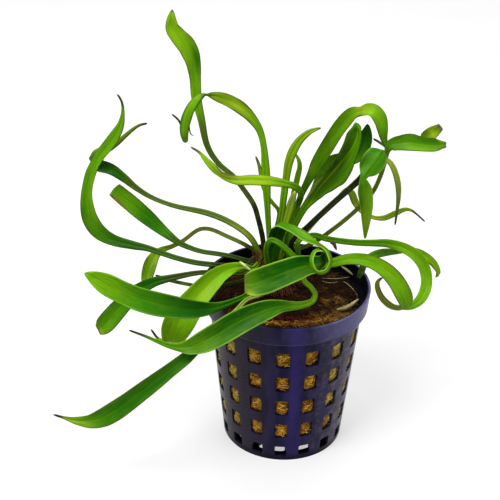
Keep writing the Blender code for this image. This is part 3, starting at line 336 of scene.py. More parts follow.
# Colours of the pot, of the wool and of its fibres.
INK = (0.005, 0.005, 0.026)
INDIGO = (0.013, 0.012, 0.062)
SHADE_AND_SHEEN = (0.032, 0.025, 0.029)
WARM_INK = (0.030, 0.020, 0.026)
VIOLET_HIGHLIGHT = (0.030, 0.020, 0.118)
RIGHT_SHEEN = (0.150, 0.120, 0.145)
COLLAR_SHEEN = (0.105, 0.096, 0.215)
LIT_EDGE = (0.150, 0.140, 0.210)
SHADE_BLACK = (0.004, 0.004, 0.008)
OCHRE = (0.210, 0.090, 0.012)
GOLD = (0.580, 0.330, 0.040)
PEAT = (0.010, 0.004, 0.001)
UMBER = (0.046, 0.019, 0.004)
BRICK = (0.085, 0.012, 0.007)
FIBRE_SHADOW = (0.020, 0.009, 0.004)
SAGE = (0.380, 0.360, 0.110)
LIT_SAND = (0.780, 0.680, 0.260)
DARK_FIBRE = (0.025, 0.010, 0.003)
ORANGE_FIBRE = (0.340, 0.145, 0.028)
GOLD_FIBRE = (0.720, 0.460, 0.060)
CREAM_FIBRE = (0.850, 0.760, 0.340)
RUST_FIBRE = (0.430, 0.160, 0.050)
SAGE_FIBRE = (0.480, 0.450, 0.150)
GRIME = (0.030, 0.013, 0.005)

# Colours of the crown and of the sheet that the pot stands on.
BASE_GREEN = (0.060, 0.120, 0.010)
BASE_SHADOW = (0.030, 0.010, 0.006)
BASE_BROWN = (0.150, 0.050, 0.022)
SHEET_DARK = (0.245, 0.245, 0.245)
SHEET_LIGHT = (0.260, 0.260, 0.260)
SHEET_GLOW = 0.47

# Roots, threads and dead strands: (colour along their ridges, colour in their creases).
ROOT_SKINS = {
    "old_leaf_fibre": ((0.160, 0.050, 0.022), (0.050, 0.018, 0.010)),
    "red_speck": ((0.240, 0.018, 0.014), (0.080, 0.008, 0.006)),
    "root_skin": ((0.400, 0.320, 0.150), (0.210, 0.150, 0.070)),
    "pale_root_skin": ((0.260, 0.230, 0.120), (0.130, 0.110, 0.055)),
    "dead_skin": ((0.090, 0.036, 0.020), (0.030, 0.014, 0.010)),
    "sliver_skin": ((0.420, 0.520, 0.240), (0.200, 0.280, 0.080)),
}

# Each leaf's colours: stalk, the side seen at roll 0, the other side, the last stretch, the tip.
LOOKS = {
    "leaf_tallest": (HOLLY, FRESH, RICH, LIME, GREY),
    "leaf_crook": (FRESH, CITRON, FRESH, LEAF, DARK),
    "leaf_upper_left": (HOLLY, DEEP, OLIVE, OLIVE, DARK),
    "leaf_wide_left": (PINE, LEAF, LEAF, FRESH, DARK),
    "leaf_mid_left": (PINE, RICH, RICH, FRESH, LEAF),
    "leaf_bent_stalk": (OLIVE, CITRON, CITRON, FRESH, GREY),
    "leaf_low_fold": (DARK_OLIVE, RICH, RICH, LEAF, OLIVE),
    "leaf_broad_left": (RICH, RICH, RICH, FRESH, FRESH),
    "leaf_thin_stalk": (DARK_OLIVE, DARK_OLIVE, DARK_OLIVE, DARK_OLIVE, DARK),
    "leaf_left_arch": (CITRON, MEADOW, MEADOW, LIME, DARK),
    "leaf_front_curl": (DEEP, DEEP, RICH, DEEP, OLIVE),
    "leaf_front_long": (LEAF, DEEP, DEEP, LEAF, DARK),
    "leaf_lowest": (PALE, MOSS, MOSS, LEAF, BARK),
    "leaf_yellow_cross": (FRESH, GLOW, GLOW, LIME, GREY),
    "leaf_thin_back": (CITRON, CITRON, CITRON, OLIVE, GREY),
    "leaf_upright_outer": (FRESH, CITRON, CITRON, CITRON, GREY),
    "leaf_upright_inner": (CITRON, MEADOW, MEADOW, FRESH, GREY),
    "leaf_young": (CITRON, GLOW, GLOW, PALE, YELLOW),
    "leaf_big_arch": (LEAF, FRESH, FRESH, LEAF, DARK),
    "leaf_keeled": (LEAF, LEAF, RICH, LEAF, RICH),
    "leaf_dark_oval": (OLIVE, LEAF, RICH, DEEP, DEEP),
    "leaf_nodding": (BARK, RICH, RICH, CITRON, OLIVE),
    "leaf_right_level": (OLIVE, LEAF, LEAF, CITRON, GREY),
    "leaf_right_droop": (PALE, PALE, PALE, OLIVE, GREY),
    "leaf_right_slim": (CITRON, GLOW, GLOW, CITRON, GREY),
    "leaf_right_strap": (FRESH, FRESH, OLIVE, OLIVE, BROWN),
    "leaf_right_spiral": (LEAF, FRESH, FRESH, FRESH, GREY),
    "leaf_rim_shoot": (LEAF, LEAF, LEAF, CITRON, GREY),
}

# The slot of each leaf that isn't plain leaf green.
LEAF_SLOTS = {
    **dict.fromkeys(("leaf_left_arch", "leaf_yellow_cross", "leaf_upright_outer", "leaf_young",
                     "leaf_right_droop", "leaf_right_slim", "leaf_right_strap"), "leaf_yellow_green"),
    **dict.fromkeys(("leaf_low_fold", "leaf_thin_stalk", "leaf_dark_oval", "leaf_rim_shoot"),
                    "leaf_dark_green"),
}

# Each leaf's margin: colour, and how strongly it shows.
MARGINS = {
    "leaf_front_curl": (MARGIN, 0.6),
    "leaf_front_long": (MARGIN, 0.5),
    "leaf_nodding": (MARGIN, 0.4),
    "leaf_broad_left": (MARGIN, 0.3),
    "leaf_right_spiral": (MARGIN, 0.3),
    "leaf_left_arch": (MARGIN, 0.2),
    "leaf_lowest": (BROWN, 0.45),
    "leaf_crook": (BARK, 0.6),
}
PLAIN_MARGIN = (DARK_OLIVE, 0.8)

# Patches on leaves: (mark, share of the leaf's length, place across it, reach along, reach across,
# strength). The place runs from -1 at one edge to 1 at the other, and WHOLE reaches right across.
# Bright patches are partly paler tissue and partly painted light and sheen, deep ones partly darker
# tissue and partly painted shade, and dark ones partly dead tips and edges and partly painted shade
# on stalks near the crown.
WHOLE = 9.0
PATCHES = {
    "leaf_tallest": (("dark", 0.13, 0.0, 0.24, WHOLE, 0.95), ("bright", 0.76, -1.0, 0.14, 0.6, 0.7),
                     ("deep", 0.80, 0.6, 0.06, 0.5, 0.8), ("bright", 0.93, 0.0, 0.06, WHOLE, 0.5)),
    "leaf_crook": (("dark", 0.69, 0.0, 0.018, WHOLE, 0.8), ("bright", 0.40, 0.0, 0.12, 0.7, 0.5),
                   ("dark", 0.52, 1.0, 0.08, 0.3, 0.6), ("dark", 0.52, -1.0, 0.08, 0.3, 0.6),
                   ("deep", 0.80, -1.0, 0.08, 0.5, 0.9), ("yellow", 0.57, 0.0, 0.03, 0.4, 0.5)),
    "leaf_upper_left": (("yellow", 0.12, 0.0, 0.07, 0.6, 0.3), ("deep", 0.72, 0.0, 0.05, WHOLE, 0.5),
                        ("bright", 0.80, 0.8, 0.05, 0.4, 0.5)),
    "leaf_wide_left": (("bright", 0.64, 1.0, 0.14, 0.6, 0.5), ("deep", 0.45, 0.0, 0.10, WHOLE, 0.8),
                       ("deep", 0.52, -1.0, 0.08, 0.7, 0.6), ("dark", 0.08, 0.0, 0.12, WHOLE, 0.85)),
    "leaf_mid_left": (("dark", 0.08, 0.0, 0.14, WHOLE, 0.8), ("deep", 0.72, -0.5, 0.12, 0.8, 0.4),
                      ("brown", 0.95, -1.0, 0.06, 0.4, 0.9), ("dark", 1.00, -1.0, 0.02, 0.5, 0.9)),
    "leaf_bent_stalk": (("brown", 0.55, 0.0, 0.16, WHOLE, 0.35), ("bright", 0.82, 0.0, 0.05, 0.6, 0.4)),
    "leaf_low_fold": (("deep", 0.60, 0.0, 0.10, WHOLE, 0.8), ("brown", 0.97, -1.0, 0.03, 0.2, 0.8),
                      ("bright", 0.93, 1.0, 0.10, 0.2, 0.5), ("yellow", 1.00, 0.0, 0.012, WHOLE, 0.4)),
    "leaf_broad_left": (("deep", 0.50, 0.0, 0.14, WHOLE, 0.9), ("bright", 0.90, 0.3, 0.10, 1.0, 0.25)),
    "leaf_left_arch": (("yellow", 0.50, -0.3, 0.10, 0.6, 0.25), ("bright", 0.72, 0.0, 0.08, 0.8, 0.5),
                       ("dark", 0.06, 0.0, 0.07, WHOLE, 0.5), ("yellow", 0.97, 0.0, 0.06, WHOLE, 0.35)),
    "leaf_front_curl": (("bright", 1.00, 0.0, 0.05, WHOLE, 0.4), ("yellow", 0.985, -0.9, 0.012, 0.3, 0.5),
                        ("brown", 1.00, 0.0, 0.012, WHOLE, 0.6), ("brown", 0.465, 0.0, 0.012, WHOLE, 0.6),
                        ("bright", 0.60, -1.0, 0.12, 0.8, 0.9), ("bright", 0.40, 0.0, 0.05, 0.7, 0.5)),
    "leaf_front_long": (("bright", 0.40, 0.0, 0.10, WHOLE, 0.9), ("yellow", 0.40, 0.0, 0.06, 0.8, 0.35),
                        ("bright", 0.22, 0.5, 0.05, 0.4, 0.7), ("bright", 0.80, 0.0, 0.07, WHOLE, 0.2)),
    "leaf_lowest": (("brown", 0.97, 0.0, 0.02, WHOLE, 0.5), ("deep", 0.60, 0.2, 0.22, 1.2, 0.4),
                    ("yellow", 0.94, -0.3, 0.06, 0.6, 0.35)),
    "leaf_keeled": (("dark", 0.76, -0.7, 0.20, 0.55, 0.8), ("yellow", 0.72, 0.0, 0.26, 0.05, 0.7),
                    ("bright", 0.76, -1.0, 0.22, 0.12, 0.7)),
    "leaf_dark_oval": (("deep", 0.93, 0.0, 0.15, WHOLE, 0.7),),
    "leaf_big_arch": (("deep", 0.42, 0.5, 0.12, 0.6, 0.5), ("yellow", 0.74, -0.2, 0.05, 0.8, 0.25),
                      ("brown", 0.72, 0.0, 0.015, WHOLE, 0.4)),
    "leaf_nodding": (("bright", 0.64, 1.0, 0.07, 0.15, 0.7), ("bright", 0.64, -1.0, 0.07, 0.15, 0.5),
                     ("bright", 0.86, 1.0, 0.08, 0.9, 0.7), ("deep", 0.86, -0.9, 0.08, 0.5, 0.6)),
    "leaf_right_level": (("yellow", 0.965, 0.0, 0.012, 1.0, 0.5), ("brown", 1.0, 0.0, 0.014, WHOLE, 0.9),
                         ("brown", 0.86, 0.0, 0.01, WHOLE, 0.6), ("deep", 0.75, -0.6, 0.05, 0.5, 0.4),
                         ("bright", 0.70, 0.8, 0.05, 0.4, 0.4)),
    "leaf_right_slim": (("bright", 0.52, 0.0, 0.10, WHOLE, 0.5), ("yellow", 0.66, 0.0, 0.20, 0.8, 0.3)),
    "leaf_right_strap": (("brown", 0.60, 1.0, 0.20, 0.14, 0.7), ("brown", 0.60, -1.0, 0.20, 0.14, 0.7),
                         ("brown", 0.90, 0.0, 0.10, WHOLE, 0.5), ("bright", 0.62, 0.0, 0.10, 0.5, 0.3)),
    "leaf_right_spiral": (("bright", 0.62, 0.3, 0.16, 0.6, 0.4),),
    "leaf_right_droop": (("yellow", 0.70, 0.0, 0.06, WHOLE, 0.3),),
    "leaf_rim_shoot": (("dark", 0.02, 0.0, 0.14, WHOLE, 0.9), ("bright", 0.82, 0.0, 0.10, 0.7, 0.6),
                       ("brown", 0.84, 1.0, 0.10, 0.25, 0.7), ("brown", 0.86, -1.0, 0.08, 0.25, 0.6),
                       ("dark", 0.54, 0.0, 0.05, WHOLE, 0.3)),
    "leaf_upright_outer": (("yellow", 0.30, 0.0, 0.16, 0.5, 0.3), ("bright", 0.74, 0.0, 0.06, 0.6, 0.3)),
    "leaf_thin_back": (("yellow", 0.76, 0.0, 0.08, WHOLE, 0.35),),
    "leaf_yellow_cross": (("bright", 0.60, 0.0, 0.12, 1.0, 0.3), ("brown", 0.80, 0.8, 0.10, 0.4, 0.4)),
}

# The roots on the rock wool and the dead scrap under a stalk: (skin, slot, width, sketch points).
STRANDS = {
    "root_cream": ("root_skin", "root", 1.5 * MM,
                   ((336.5, 309.5, -10.5), (344, 308.5, -9.8), (352, 304.5, -7.4), (358.5, 299, -4.2))),
    "root_pale": ("pale_root_skin", "root", 0.9 * MM,
                  ((341.3, 266.3, 10.5), (346.8, 270, 10.0), (352.9, 275, 9.6))),
    "dead_stub": ("dead_skin", "dead_tissue", 1.2 * MM,
                  ((330, 242.2, 7.0), (333.8, 243.8, 7.0), (336.4, 250, 6.9))),
}

# The thread that hangs from the crook leaf's end, and the dry sliver beside the crown: (skin, width,
# sketch points).
SCRAPS = {
    "crook_thread": ("dead_skin", 0.45 * MM,
                     ((192.7, 113.7, 13.4), (189.8, 120.4, 12.6), (189.3, 128, 12.2), (190.8, 133.8, 12.2),
                      (193.7, 135.8, 12.4))),
    "pale_sliver": ("sliver_skin", 1.0 * MM,
                    ((239.6, 261.4, -5.0), (245, 265.8, -5.6), (250.5, 270.2, -6.2))),
}

# Hair roots: sketch points.
FINE_ROOTS = (
    ((322, 278, 9), (336, 278.8, 9.2), (350, 277, 9.8)),
    ((343, 281, 8), (350, 286, 6), (355, 292, 3)),
    ((322, 281, 8), (330, 283, 7), (338, 282, 7.5)),
    ((262, 285.5, 5), (264, 289, 3), (266, 292, 2)),
    ((258, 290, 3), (263, 288, 4), (268, 290.5, 3)),
)


# Shader helpers


class Surface:
    """A material whose nodes are added one call at a time."""

    def __init__(self, name):
        self.material = bpy.data.materials.new(name)
        self.material.use_nodes = True
        self.tree = self.material.node_tree
        self.shader = self.tree.nodes["Principled BSDF"]

    def add(self, kind, **settings):
        """A new node with these settings."""
        node = self.tree.nodes.new(kind)
        for key, value in settings.items():
            setattr(node, key, value)
        return node

    def put(self, socket, value):
        """Sets a socket, or links it where the value is another node's output."""
        if isinstance(value, bpy.types.NodeSocket):
            self.tree.links.new(value, socket)
        elif isinstance(value, tuple) and len(value) == 3 and socket.type == "RGBA":
            socket.default_value = (*value, 1.0)
        else:
            socket.default_value = value

    def attribute(self, name):
        return self.add("ShaderNodeAttribute", attribute_name=name).outputs["Fac"]

    def place(self):
        return self.add("ShaderNodeTexCoord").outputs["Object"]

    def parts(self, where):
        """The x, y and z of a place."""
        node = self.add("ShaderNodeSeparateXYZ")
        self.put(node.inputs[0], where)
        return node.outputs

    def math(self, operation, first, second=0.0):
        node = self.add("ShaderNodeMath", operation=operation)
        self.put(node.inputs[0], first)
        self.put(node.inputs[1], second)
        return node.outputs[0]

    def away(self, value, centre):
        """How far a value lies from a centre, on either side of it."""
        return self.math("ABSOLUTE", self.math("SUBTRACT", value, centre))

    def vector(self, x, y, z):
        node = self.add("ShaderNodeCombineXYZ")
        for socket, value in zip(node.inputs, (x, y, z)):
            self.put(socket, value)
        return node.outputs[0]

    def noise(self, where, scale, detail=3.0, roughness=0.5):
        node = self.add("ShaderNodeTexNoise")
        self.put(node.inputs["Vector"], where)
        self.put(node.inputs["Scale"], scale)
        self.put(node.inputs["Detail"], detail)
        self.put(node.inputs["Roughness"], roughness)
        return node.outputs["Fac"]

    def span(self, value, low, high, to_low=0.0, to_high=1.0):
        """The value carried smoothly from low..high to to_low..to_high, and held there outside it."""
        node = self.add("ShaderNodeMapRange", interpolation_type="SMOOTHSTEP")
        for socket, number in zip(node.inputs, (value, low, high, to_low, to_high)):
            self.put(socket, number)
        return node.outputs[0]

    def mix(self, share, first, second):
        """The first colour where the share is 0, and the second where it is 1."""
        node = self.add("ShaderNodeMix", data_type="RGBA")
        self.put(node.inputs[0], share)
        self.put(node.inputs[6], first)
        self.put(node.inputs[7], second)
        return node.outputs[2]

    def bump(self, height, distance, strength=1.0):
        node = self.add("ShaderNodeBump")
        node.inputs["Strength"].default_value = strength
        node.inputs["Distance"].default_value = distance
        self.put(node.inputs["Height"], height)
        self.put(self.shader.inputs["Normal"], node.outputs[0])

    def finish(self, colour, roughness, **settings):
        """Joins colour and roughness to the shader, and sets its other sockets to plain values."""
        self.put(self.shader.inputs["Base Color"], colour)
        self.put(self.shader.inputs["Roughness"], roughness)
        for name, value in settings.items():
            self.shader.inputs[name.replace("_", " ")].default_value = value
        return self.material


def tinted(colour, factor):
    return tuple(channel * factor for channel in colour)


def between(first, second, share):
    return tuple(a + (b - a) * share for a, b in zip(first, second))


# Mesh helpers


def add_object(name, data):
    obj = bpy.data.objects.new(name, data)
    bpy.context.scene.collection.objects.link(obj)
    return obj


def finish_mesh(name, mesh, shape, material):
    """A named object of a shape's mesh, shaded smooth, with its faces outwards."""
    bmesh.ops.recalc_face_normals(shape, faces=shape.faces)
    shape.to_mesh(mesh)
    shape.free()
    mesh.shade_smooth()
    mesh.materials.append(material)
    return add_object(name, mesh)


def add_mesh(name, points, faces, material, shades=None):
    """A named mesh object with a number per point in each shade."""
    mesh = bpy.data.meshes.new(name)
    mesh.from_pydata([tuple(point) for point in points], [], faces)
    for label, values in (shades or {}).items():
        layer = mesh.attributes.new(label, "FLOAT", "POINT")
        layer.data.foreach_set("value", values)
    shape = bmesh.new()
    shape.from_mesh(mesh)
    return finish_mesh(name, mesh, shape, material)


def ring_faces(low, high, size):
    """Faces between two rings of points, each given by its first point and their size."""
    return [(low + side, low + (side + 1) % size, high + (side + 1) % size, high + side)
            for side in range(size)]


def cap_faces(ring, middle, size):
    """Faces from a ring of points to one point in its middle."""
    return [(ring + side, ring + (side + 1) % size, middle) for side in range(size)]


def place_piece(obj, slot, *nodes):
    """Fixes a piece to the part, and lets it stand for CAD nodes."""
    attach(obj, "root")
    if nodes:
        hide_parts(*nodes)


def around(radius, angle, height):
    return Vector((radius * math.cos(angle), radius * math.sin(angle), height))


def bell(value, centre, spread):
    return math.exp(-((value - centre) / spread) ** 2)


def wall_radius(height):
    """Outer radius of the tapered wall below the collar."""
    share = min(max(height / SHOULDER_HEIGHT, 0.0), 1.0)
    return BASE_RADIUS + (SHOULDER_RADIUS - BASE_RADIUS) * share


def tangents_of(points):
    """The direction of the line at each point, from its neighbours."""
    ends = [points[0], *points, points[-1]]
    return [(after - before).normalized() for before, after in zip(ends, ends[2:])]


def blend(before, start, end, after, share):
    """A smooth curve through four values, between the second and the third."""
    return 0.5 * ((2 * start) + (end - before) * share
                  + (2 * before - 5 * start + 4 * end - after) * share ** 2
                  + (3 * start - before - 3 * end + after) * share ** 3)


class Strands:
    """Many thin three-sided threads gathered in one mesh, each with a shade from 0 to 1."""

    SIDES = 3

    def __init__(self):
        self.points = []
        self.faces = []
        self.shades = []

    def add(self, line, radius, shade, taper=0.4):
        tangents = tangents_of(line)
        first = len(self.points)
        sides = self.SIDES
        for index, (point, tangent) in enumerate(zip(line, tangents)):
            across = tangent.cross(UP if abs(tangent.z) < 0.9 else Vector((1.0, 0.0, 0.0))).normalized()
            up = across.cross(tangent)
            middle = abs(2 * index / (len(line) - 1) - 1)
            size = radius * (1 - (1 - taper) * middle ** 2)
            for side in range(sides):
                angle = math.tau * side / sides
                self.points.append(point + (across * math.cos(angle) + up * math.sin(angle)) * size)
                self.shades.append(shade)
        for level in range(len(line) - 1):
            low = first + level * sides
            self.faces += ring_faces(low, low + sides, sides)
        last = first + (len(line) - 1) * sides
        self.faces.append(tuple(range(first, first + sides)))
        self.faces.append(tuple(range(last, last + sides)))

    def build(self, name, material):
        flanks = [min(max((abs(point.x) - FLANK_START) / FLANK_REACH, 0.0), 1.0) * (point.z < FLANK_TOP)
                  for point in self.points]
        return add_mesh(name, self.points, self.faces, material, {"shade": self.shades, "flank": flanks})


# Materials


# Where the tints of the pot and the wool lie, to the right, up or away from a middle: (first place,
# last place, strength up to the first, strength from the last on). Most of them place painted light
# and shade: the pot's sheens, its highlight band, its lit edge and the shade at its foot, and the
# light on the wool's right.
RIGHT_SHEEN_REACH = (4.0 * MM, 20.0 * MM, 0.04, 0.90)
LEFT_SHADE_REACH = (-18.0 * MM, 1.0 * MM, 0.80, 0.0)
HIGHLIGHT_MIDDLE = 3.0 * MM
HIGHLIGHT_REACH = (0.5 * MM, 3.5 * MM, 0.55, 0.0)
COLLAR_REACH = (SHOULDER_HEIGHT, SHOULDER_HEIGHT + 0.5 * MM, 0.0, 0.8)
LIT_EDGE_REACH = (0.0, 0.35 * MM, 0.35, 0.0)
FOOT_SHADE_REACH = (0.5 * MM, 3.5 * MM, 0.85, 0.0)
SAGE_REACH = (12.0 * MM, 20.0 * MM, 0.0, 0.75)
LIT_SAND_REACH = (8.0 * MM, 22.0 * MM, 0.0, 0.6)


def pot_depth(surface, across, height):
    """How far inside the pot's outer skin a place lies: 0 on it, and 1 on the inside of the wall."""
    slope = (SHOULDER_RADIUS - BASE_RADIUS) / SHOULDER_HEIGHT
    outer = surface.math("ADD", surface.math("MULTIPLY", height, slope), BASE_RADIUS)
    step = surface.span(height, SHOULDER_HEIGHT, SHOULDER_HEIGHT + 0.1 * MM,
                        0.0, COLLAR_RADIUS - SHOULDER_RADIUS)
    inside = surface.math("SUBTRACT", surface.math("ADD", outer, step), across)
    return surface.span(inside, 0.5 * WALL, 0.9 * WALL)


def pot_plastic():
    """Near-black indigo plastic, with painted black shade inside and at its foot, and a painted
    grey-violet sheen on its right.
    """
    surface = Surface("pot_plastic")
    where = surface.place()
    x, y, height = surface.parts(where)
    squares = [surface.math("MULTIPLY", part, part) for part in (x, y)]
    across = surface.math("SQRT", surface.math("ADD", *squares))
    upright = surface.vector(surface.math("ARCTAN2", y, x), surface.math("MULTIPLY", height, 9.0), 0.0)
    broad = surface.noise(upright, 7.0, 3.0)
    sheen_patches = surface.span(surface.noise(where, 420.0, 5.0, 0.65), 0.42, 0.80, 0.15, 1.0)
    right = surface.span(x, *RIGHT_SHEEN_REACH)
    colour = surface.mix(surface.span(broad, 0.35, 0.65), INK, INDIGO)
    # Painted shade and a painted grey-brown sheen over the pot's left side.
    colour = surface.mix(surface.span(x, *LEFT_SHADE_REACH), colour, SHADE_AND_SHEEN)
    warm = surface.span(broad, 0.42, 0.60, 0.0, 0.25)
    colour = surface.mix(warm, colour, WARM_INK)
    # A painted highlight: an upright violet band just right of the pot's middle.
    highlight_stripe = surface.span(surface.away(x, HIGHLIGHT_MIDDLE), *HIGHLIGHT_REACH)
    colour = surface.mix(highlight_stripe, colour, VIOLET_HIGHLIGHT)
    # A painted grey-violet sheen in patches over the pot's right side, and over the right of its collar.
    colour = surface.mix(surface.math("MULTIPLY", sheen_patches, right), colour, RIGHT_SHEEN)
    collar = surface.span(height, *COLLAR_REACH)
    colour = surface.mix(surface.math("MULTIPLY", collar, right), colour, COLLAR_SHEEN)
    edge = surface.span(surface.away(height, SHOULDER_HEIGHT), *LIT_EDGE_REACH)
    colour = surface.mix(edge, colour, LIT_EDGE)
    # Painted shade: the pot goes black at its foot, near the floor.
    colour = surface.mix(surface.span(height, *FOOT_SHADE_REACH), colour, SHADE_BLACK)
    # Painted shade: black on the inside of the wall and on the windows' cut sides.
    colour = surface.mix(pot_depth(surface, across, height), colour, SHADE_BLACK)
    rough = surface.span(surface.noise(where, 900.0, 4.0), 0.3, 0.8, 0.22, 0.40)
    surface.bump(surface.noise(where, 350.0, 3.0), 0.12 * MM, 0.35)
    return surface.finish(colour, rough, Specular_IOR_Level=0.10)


def flank_tint(surface, where, colour):
    """The wool's colour, greener towards both flanks, and brightened on its right by painted light."""
    x = surface.parts(where)[0]
    colour = surface.mix(surface.span(surface.away(x, 0.0), *SAGE_REACH), colour, SAGE)
    # Painted light: a pale sand tint that brightens the wool's right.
    return surface.mix(surface.span(x, *LIT_SAND_REACH), colour, LIT_SAND)


def wool_body():
    """Packed mineral fibre: dark brown flecked with red on its top, ochre and gold at its sides, with
    painted shade between its fibres.
    """
    surface = Surface("wool_body")
    where = surface.place()
    fibres = surface.noise(where, 1600.0, 4.0, 0.7)
    lumps = surface.noise(where, 260.0, 3.0)
    gold = surface.mix(surface.span(lumps, 0.35, 0.65), OCHRE, GOLD)
    gold = flank_tint(surface, where, gold)
    brown = surface.mix(surface.span(lumps, 0.35, 0.65), PEAT, UMBER)
    red = surface.math("MULTIPLY", surface.span(surface.noise(where, 700.0, 2.0), 0.54, 0.62), 0.8)
    colour = surface.mix(surface.attribute("gold"), surface.mix(red, brown, BRICK), gold)
    # Painted shade in the gaps between the fibres.
    colour = surface.mix(surface.span(fibres, 0.40, 0.75), colour, FIBRE_SHADOW)
    surface.bump(fibres, 0.35 * MM, 0.8)
    return surface.finish(colour, surface.span(fibres, 0.3, 0.7, 0.75, 0.95), Specular_IOR_Level=0.1)


def wool_fibre():
    """Single fibres, from dark brown through orange and gold to cream by their shade."""
    surface = Surface("wool_fibre")
    shade = surface.attribute("shade")
    where = surface.place()
    colour = surface.mix(surface.span(shade, 0.05, 0.40), DARK_FIBRE, ORANGE_FIBRE)
    colour = surface.mix(surface.span(shade, 0.40, 0.72), colour, GOLD_FIBRE)
    colour = surface.mix(surface.span(shade, 0.80, 0.98), colour, CREAM_FIBRE)
    rust = surface.span(surface.noise(where, 130.0, 1.0), 0.46, 0.60, 0.0, 0.55)
    rust = surface.math("MULTIPLY", rust, surface.span(shade, 0.25, 0.50))
    colour = surface.mix(rust, colour, RUST_FIBRE)
    flank = surface.span(surface.attribute("flank"), 0.0, 1.0, 0.0, 0.75)
    colour = surface.mix(flank, colour, SAGE_FIBRE)
    grime = surface.span(surface.noise(where, 500.0, 2.0), 0.45, 0.7, 0.0, 0.45)
    colour = surface.mix(grime, colour, GRIME)
    return surface.finish(colour, surface.span(shade, 0.0, 1.0, 0.55, 0.8), Specular_IOR_Level=0.15)


def crown_tissue():
    """Fibrous rootstock: green leaf bases that go brown and papery lower down, streaked there with painted
    shadow.
    """
    surface = Surface("crown_tissue")
    where = surface.place()
    rise = surface.attribute("rise")
    streaks = surface.noise(surface.vector(surface.attribute("turn"), 0.0, rise), 9.0, 4.0, 0.6)
    streak = surface.span(streaks, 0.35, 0.7)
    green = surface.mix(streak, BASE_GREEN, STRAW)
    # The lower leaf bases: brown, streaked with painted shadow.
    brown = surface.mix(streak, BASE_SHADOW, BASE_BROWN)
    colour = surface.mix(surface.span(rise, 0.25, 0.75), brown, green)
    surface.bump(surface.noise(where, 900.0, 4.0), 0.3 * MM, 0.7)
    return surface.finish(colour, surface.span(streaks, 0.3, 0.7, 0.55, 0.8), Specular_IOR_Level=0.3)


def root_skin(name, light, dark):
    """Root or dead strand: pale along its ridge, darker in its creases."""
    surface = Surface(name)
    where = surface.place()
    creases = surface.noise(where, 900.0, 4.0, 0.6)
    colour = surface.mix(surface.span(creases, 0.35, 0.7), light, dark)
    surface.bump(creases, 0.15 * MM, 0.6)
    return surface.finish(colour, surface.span(creases, 0.3, 0.7, 0.45, 0.7), Specular_IOR_Level=0.35)


def leaf_skin(name, looks, margin):
    """Leaf tissue: stalk to blade to tip, with its margin, midrib, veins, streaks and patches, among them
    painted light and painted shade.
    """
    stalk, front, back, end, tip = looks
    edge, edge_strength = margin
    light = between(front, LIME, 0.40)
    surface = Surface(name)
    side = surface.attribute("across")
    across = surface.math("ABSOLUTE", side)
    reach = surface.attribute("reach")
    upper = surface.attribute("upper")
    drawn_out = surface.vector(surface.math("MULTIPLY", side, STREAK_COUNT), reach, upper)
    streaks = surface.noise(drawn_out, 2.4, 4.0, 0.6)
    broad = surface.noise(surface.vector(side, reach, upper), 0.8, 2.0)
    mottle = surface.noise(surface.place(), 420.0, 4.0, 0.6)

    colour = surface.mix(surface.span(upper, 0.3, 0.7), back, front)
    colour = surface.mix(surface.span(surface.attribute("share"), 0.72, 0.95), colour, end)
    colour = surface.mix(surface.span(broad, 0.40, 0.62, 0.0, 0.35), colour, light)
    for vein in VEINS:
        ridge = surface.span(surface.away(across, vein), 0.0, 0.05, 0.16, 0.0)
        colour = surface.mix(ridge, colour, light)
    colour = surface.mix(surface.span(across, 0.03, 0.11, 0.40, 0.0), colour, light)
    # Bright patches: partly paler tissue, partly painted light and sheen.
    colour = surface.mix(surface.attribute("bright"), colour, LIME)
    colour = surface.mix(surface.span(surface.attribute("blade"), 0.05, 0.75), stalk, colour)
    colour = surface.mix(surface.span(streaks, 0.42, 0.66, 0.0, 0.30), colour, tinted(front, 0.40))
    colour = surface.mix(surface.span(mottle, 0.56, 0.72, 0.0, 0.20), colour, light)
    # Deep patches: partly darker tissue, partly painted shade.
    colour = surface.mix(surface.attribute("deep"), colour, tinted(DEEP, 0.8))
    colour = surface.mix(surface.span(across, 0.80, 0.97, 0.0, edge_strength), colour, edge)
    colour = surface.mix(surface.attribute("yellow"), colour, YELLOW)
    speckle = surface.span(mottle, 0.35, 0.6, 0.5, 1.0)
    colour = surface.mix(surface.math("MULTIPLY", surface.attribute("brown"), speckle), colour, BROWN)
    # Dark patches: partly dead tips and dark edges, partly painted shade on stalks near the crown.
    colour = surface.mix(surface.math("MULTIPLY", surface.attribute("dark"), speckle), colour, BARK)
    colour = surface.mix(surface.span(surface.attribute("tip"), 0.25, 0.9), colour, tip)

    ribs = surface.noise(surface.vector(surface.math("MULTIPLY", side, 9.0), reach, 0.0), 2.0, 3.0)
    surface.bump(ribs, 0.10 * MM, 0.45)
    rough = surface.span(mottle, 0.35, 0.7, 0.38, 0.52)
    return surface.finish(colour, rough, Specular_IOR_Level=0.07)


def white_sheet():
    """The plain pale surface that the pot stands on."""
    surface = Surface("white_sheet")
    grain = surface.noise(surface.place(), 40.0, 2.0)
    colour = surface.mix(grain, SHEET_DARK, SHEET_LIGHT)
    return surface.finish(colour, 0.9, Specular_IOR_Level=0.1, Emission_Color=(1.0, 1.0, 1.0, 1.0),
                          Emission_Strength=SHEET_GLOW)


# The pot

CELL_STEPS = 8
WINDOW_RINGS = 3
CORNER_POWER = 9
FLOOR_OPENINGS = 8
FLOOR_LIP = 0.6 * MM
EDGE_ROUNDING = 0.22 * MM
SHARP_EDGE = math.radians(50)
WALL_SIDES = COLUMNS * CELL_STEPS
WALL_TURNS = [COLUMN_TURN - COLUMN_PITCH / 2 + side * (math.tau / WALL_SIDES)
              for side in range(WALL_SIDES)]


def join_loops(shape, first, second):
    """Faces between two closed loops of points."""
    for index in range(len(first)):
        after = (index + 1) % len(first)
        shape.faces.new((first[index], first[after], second[after], second[index]))


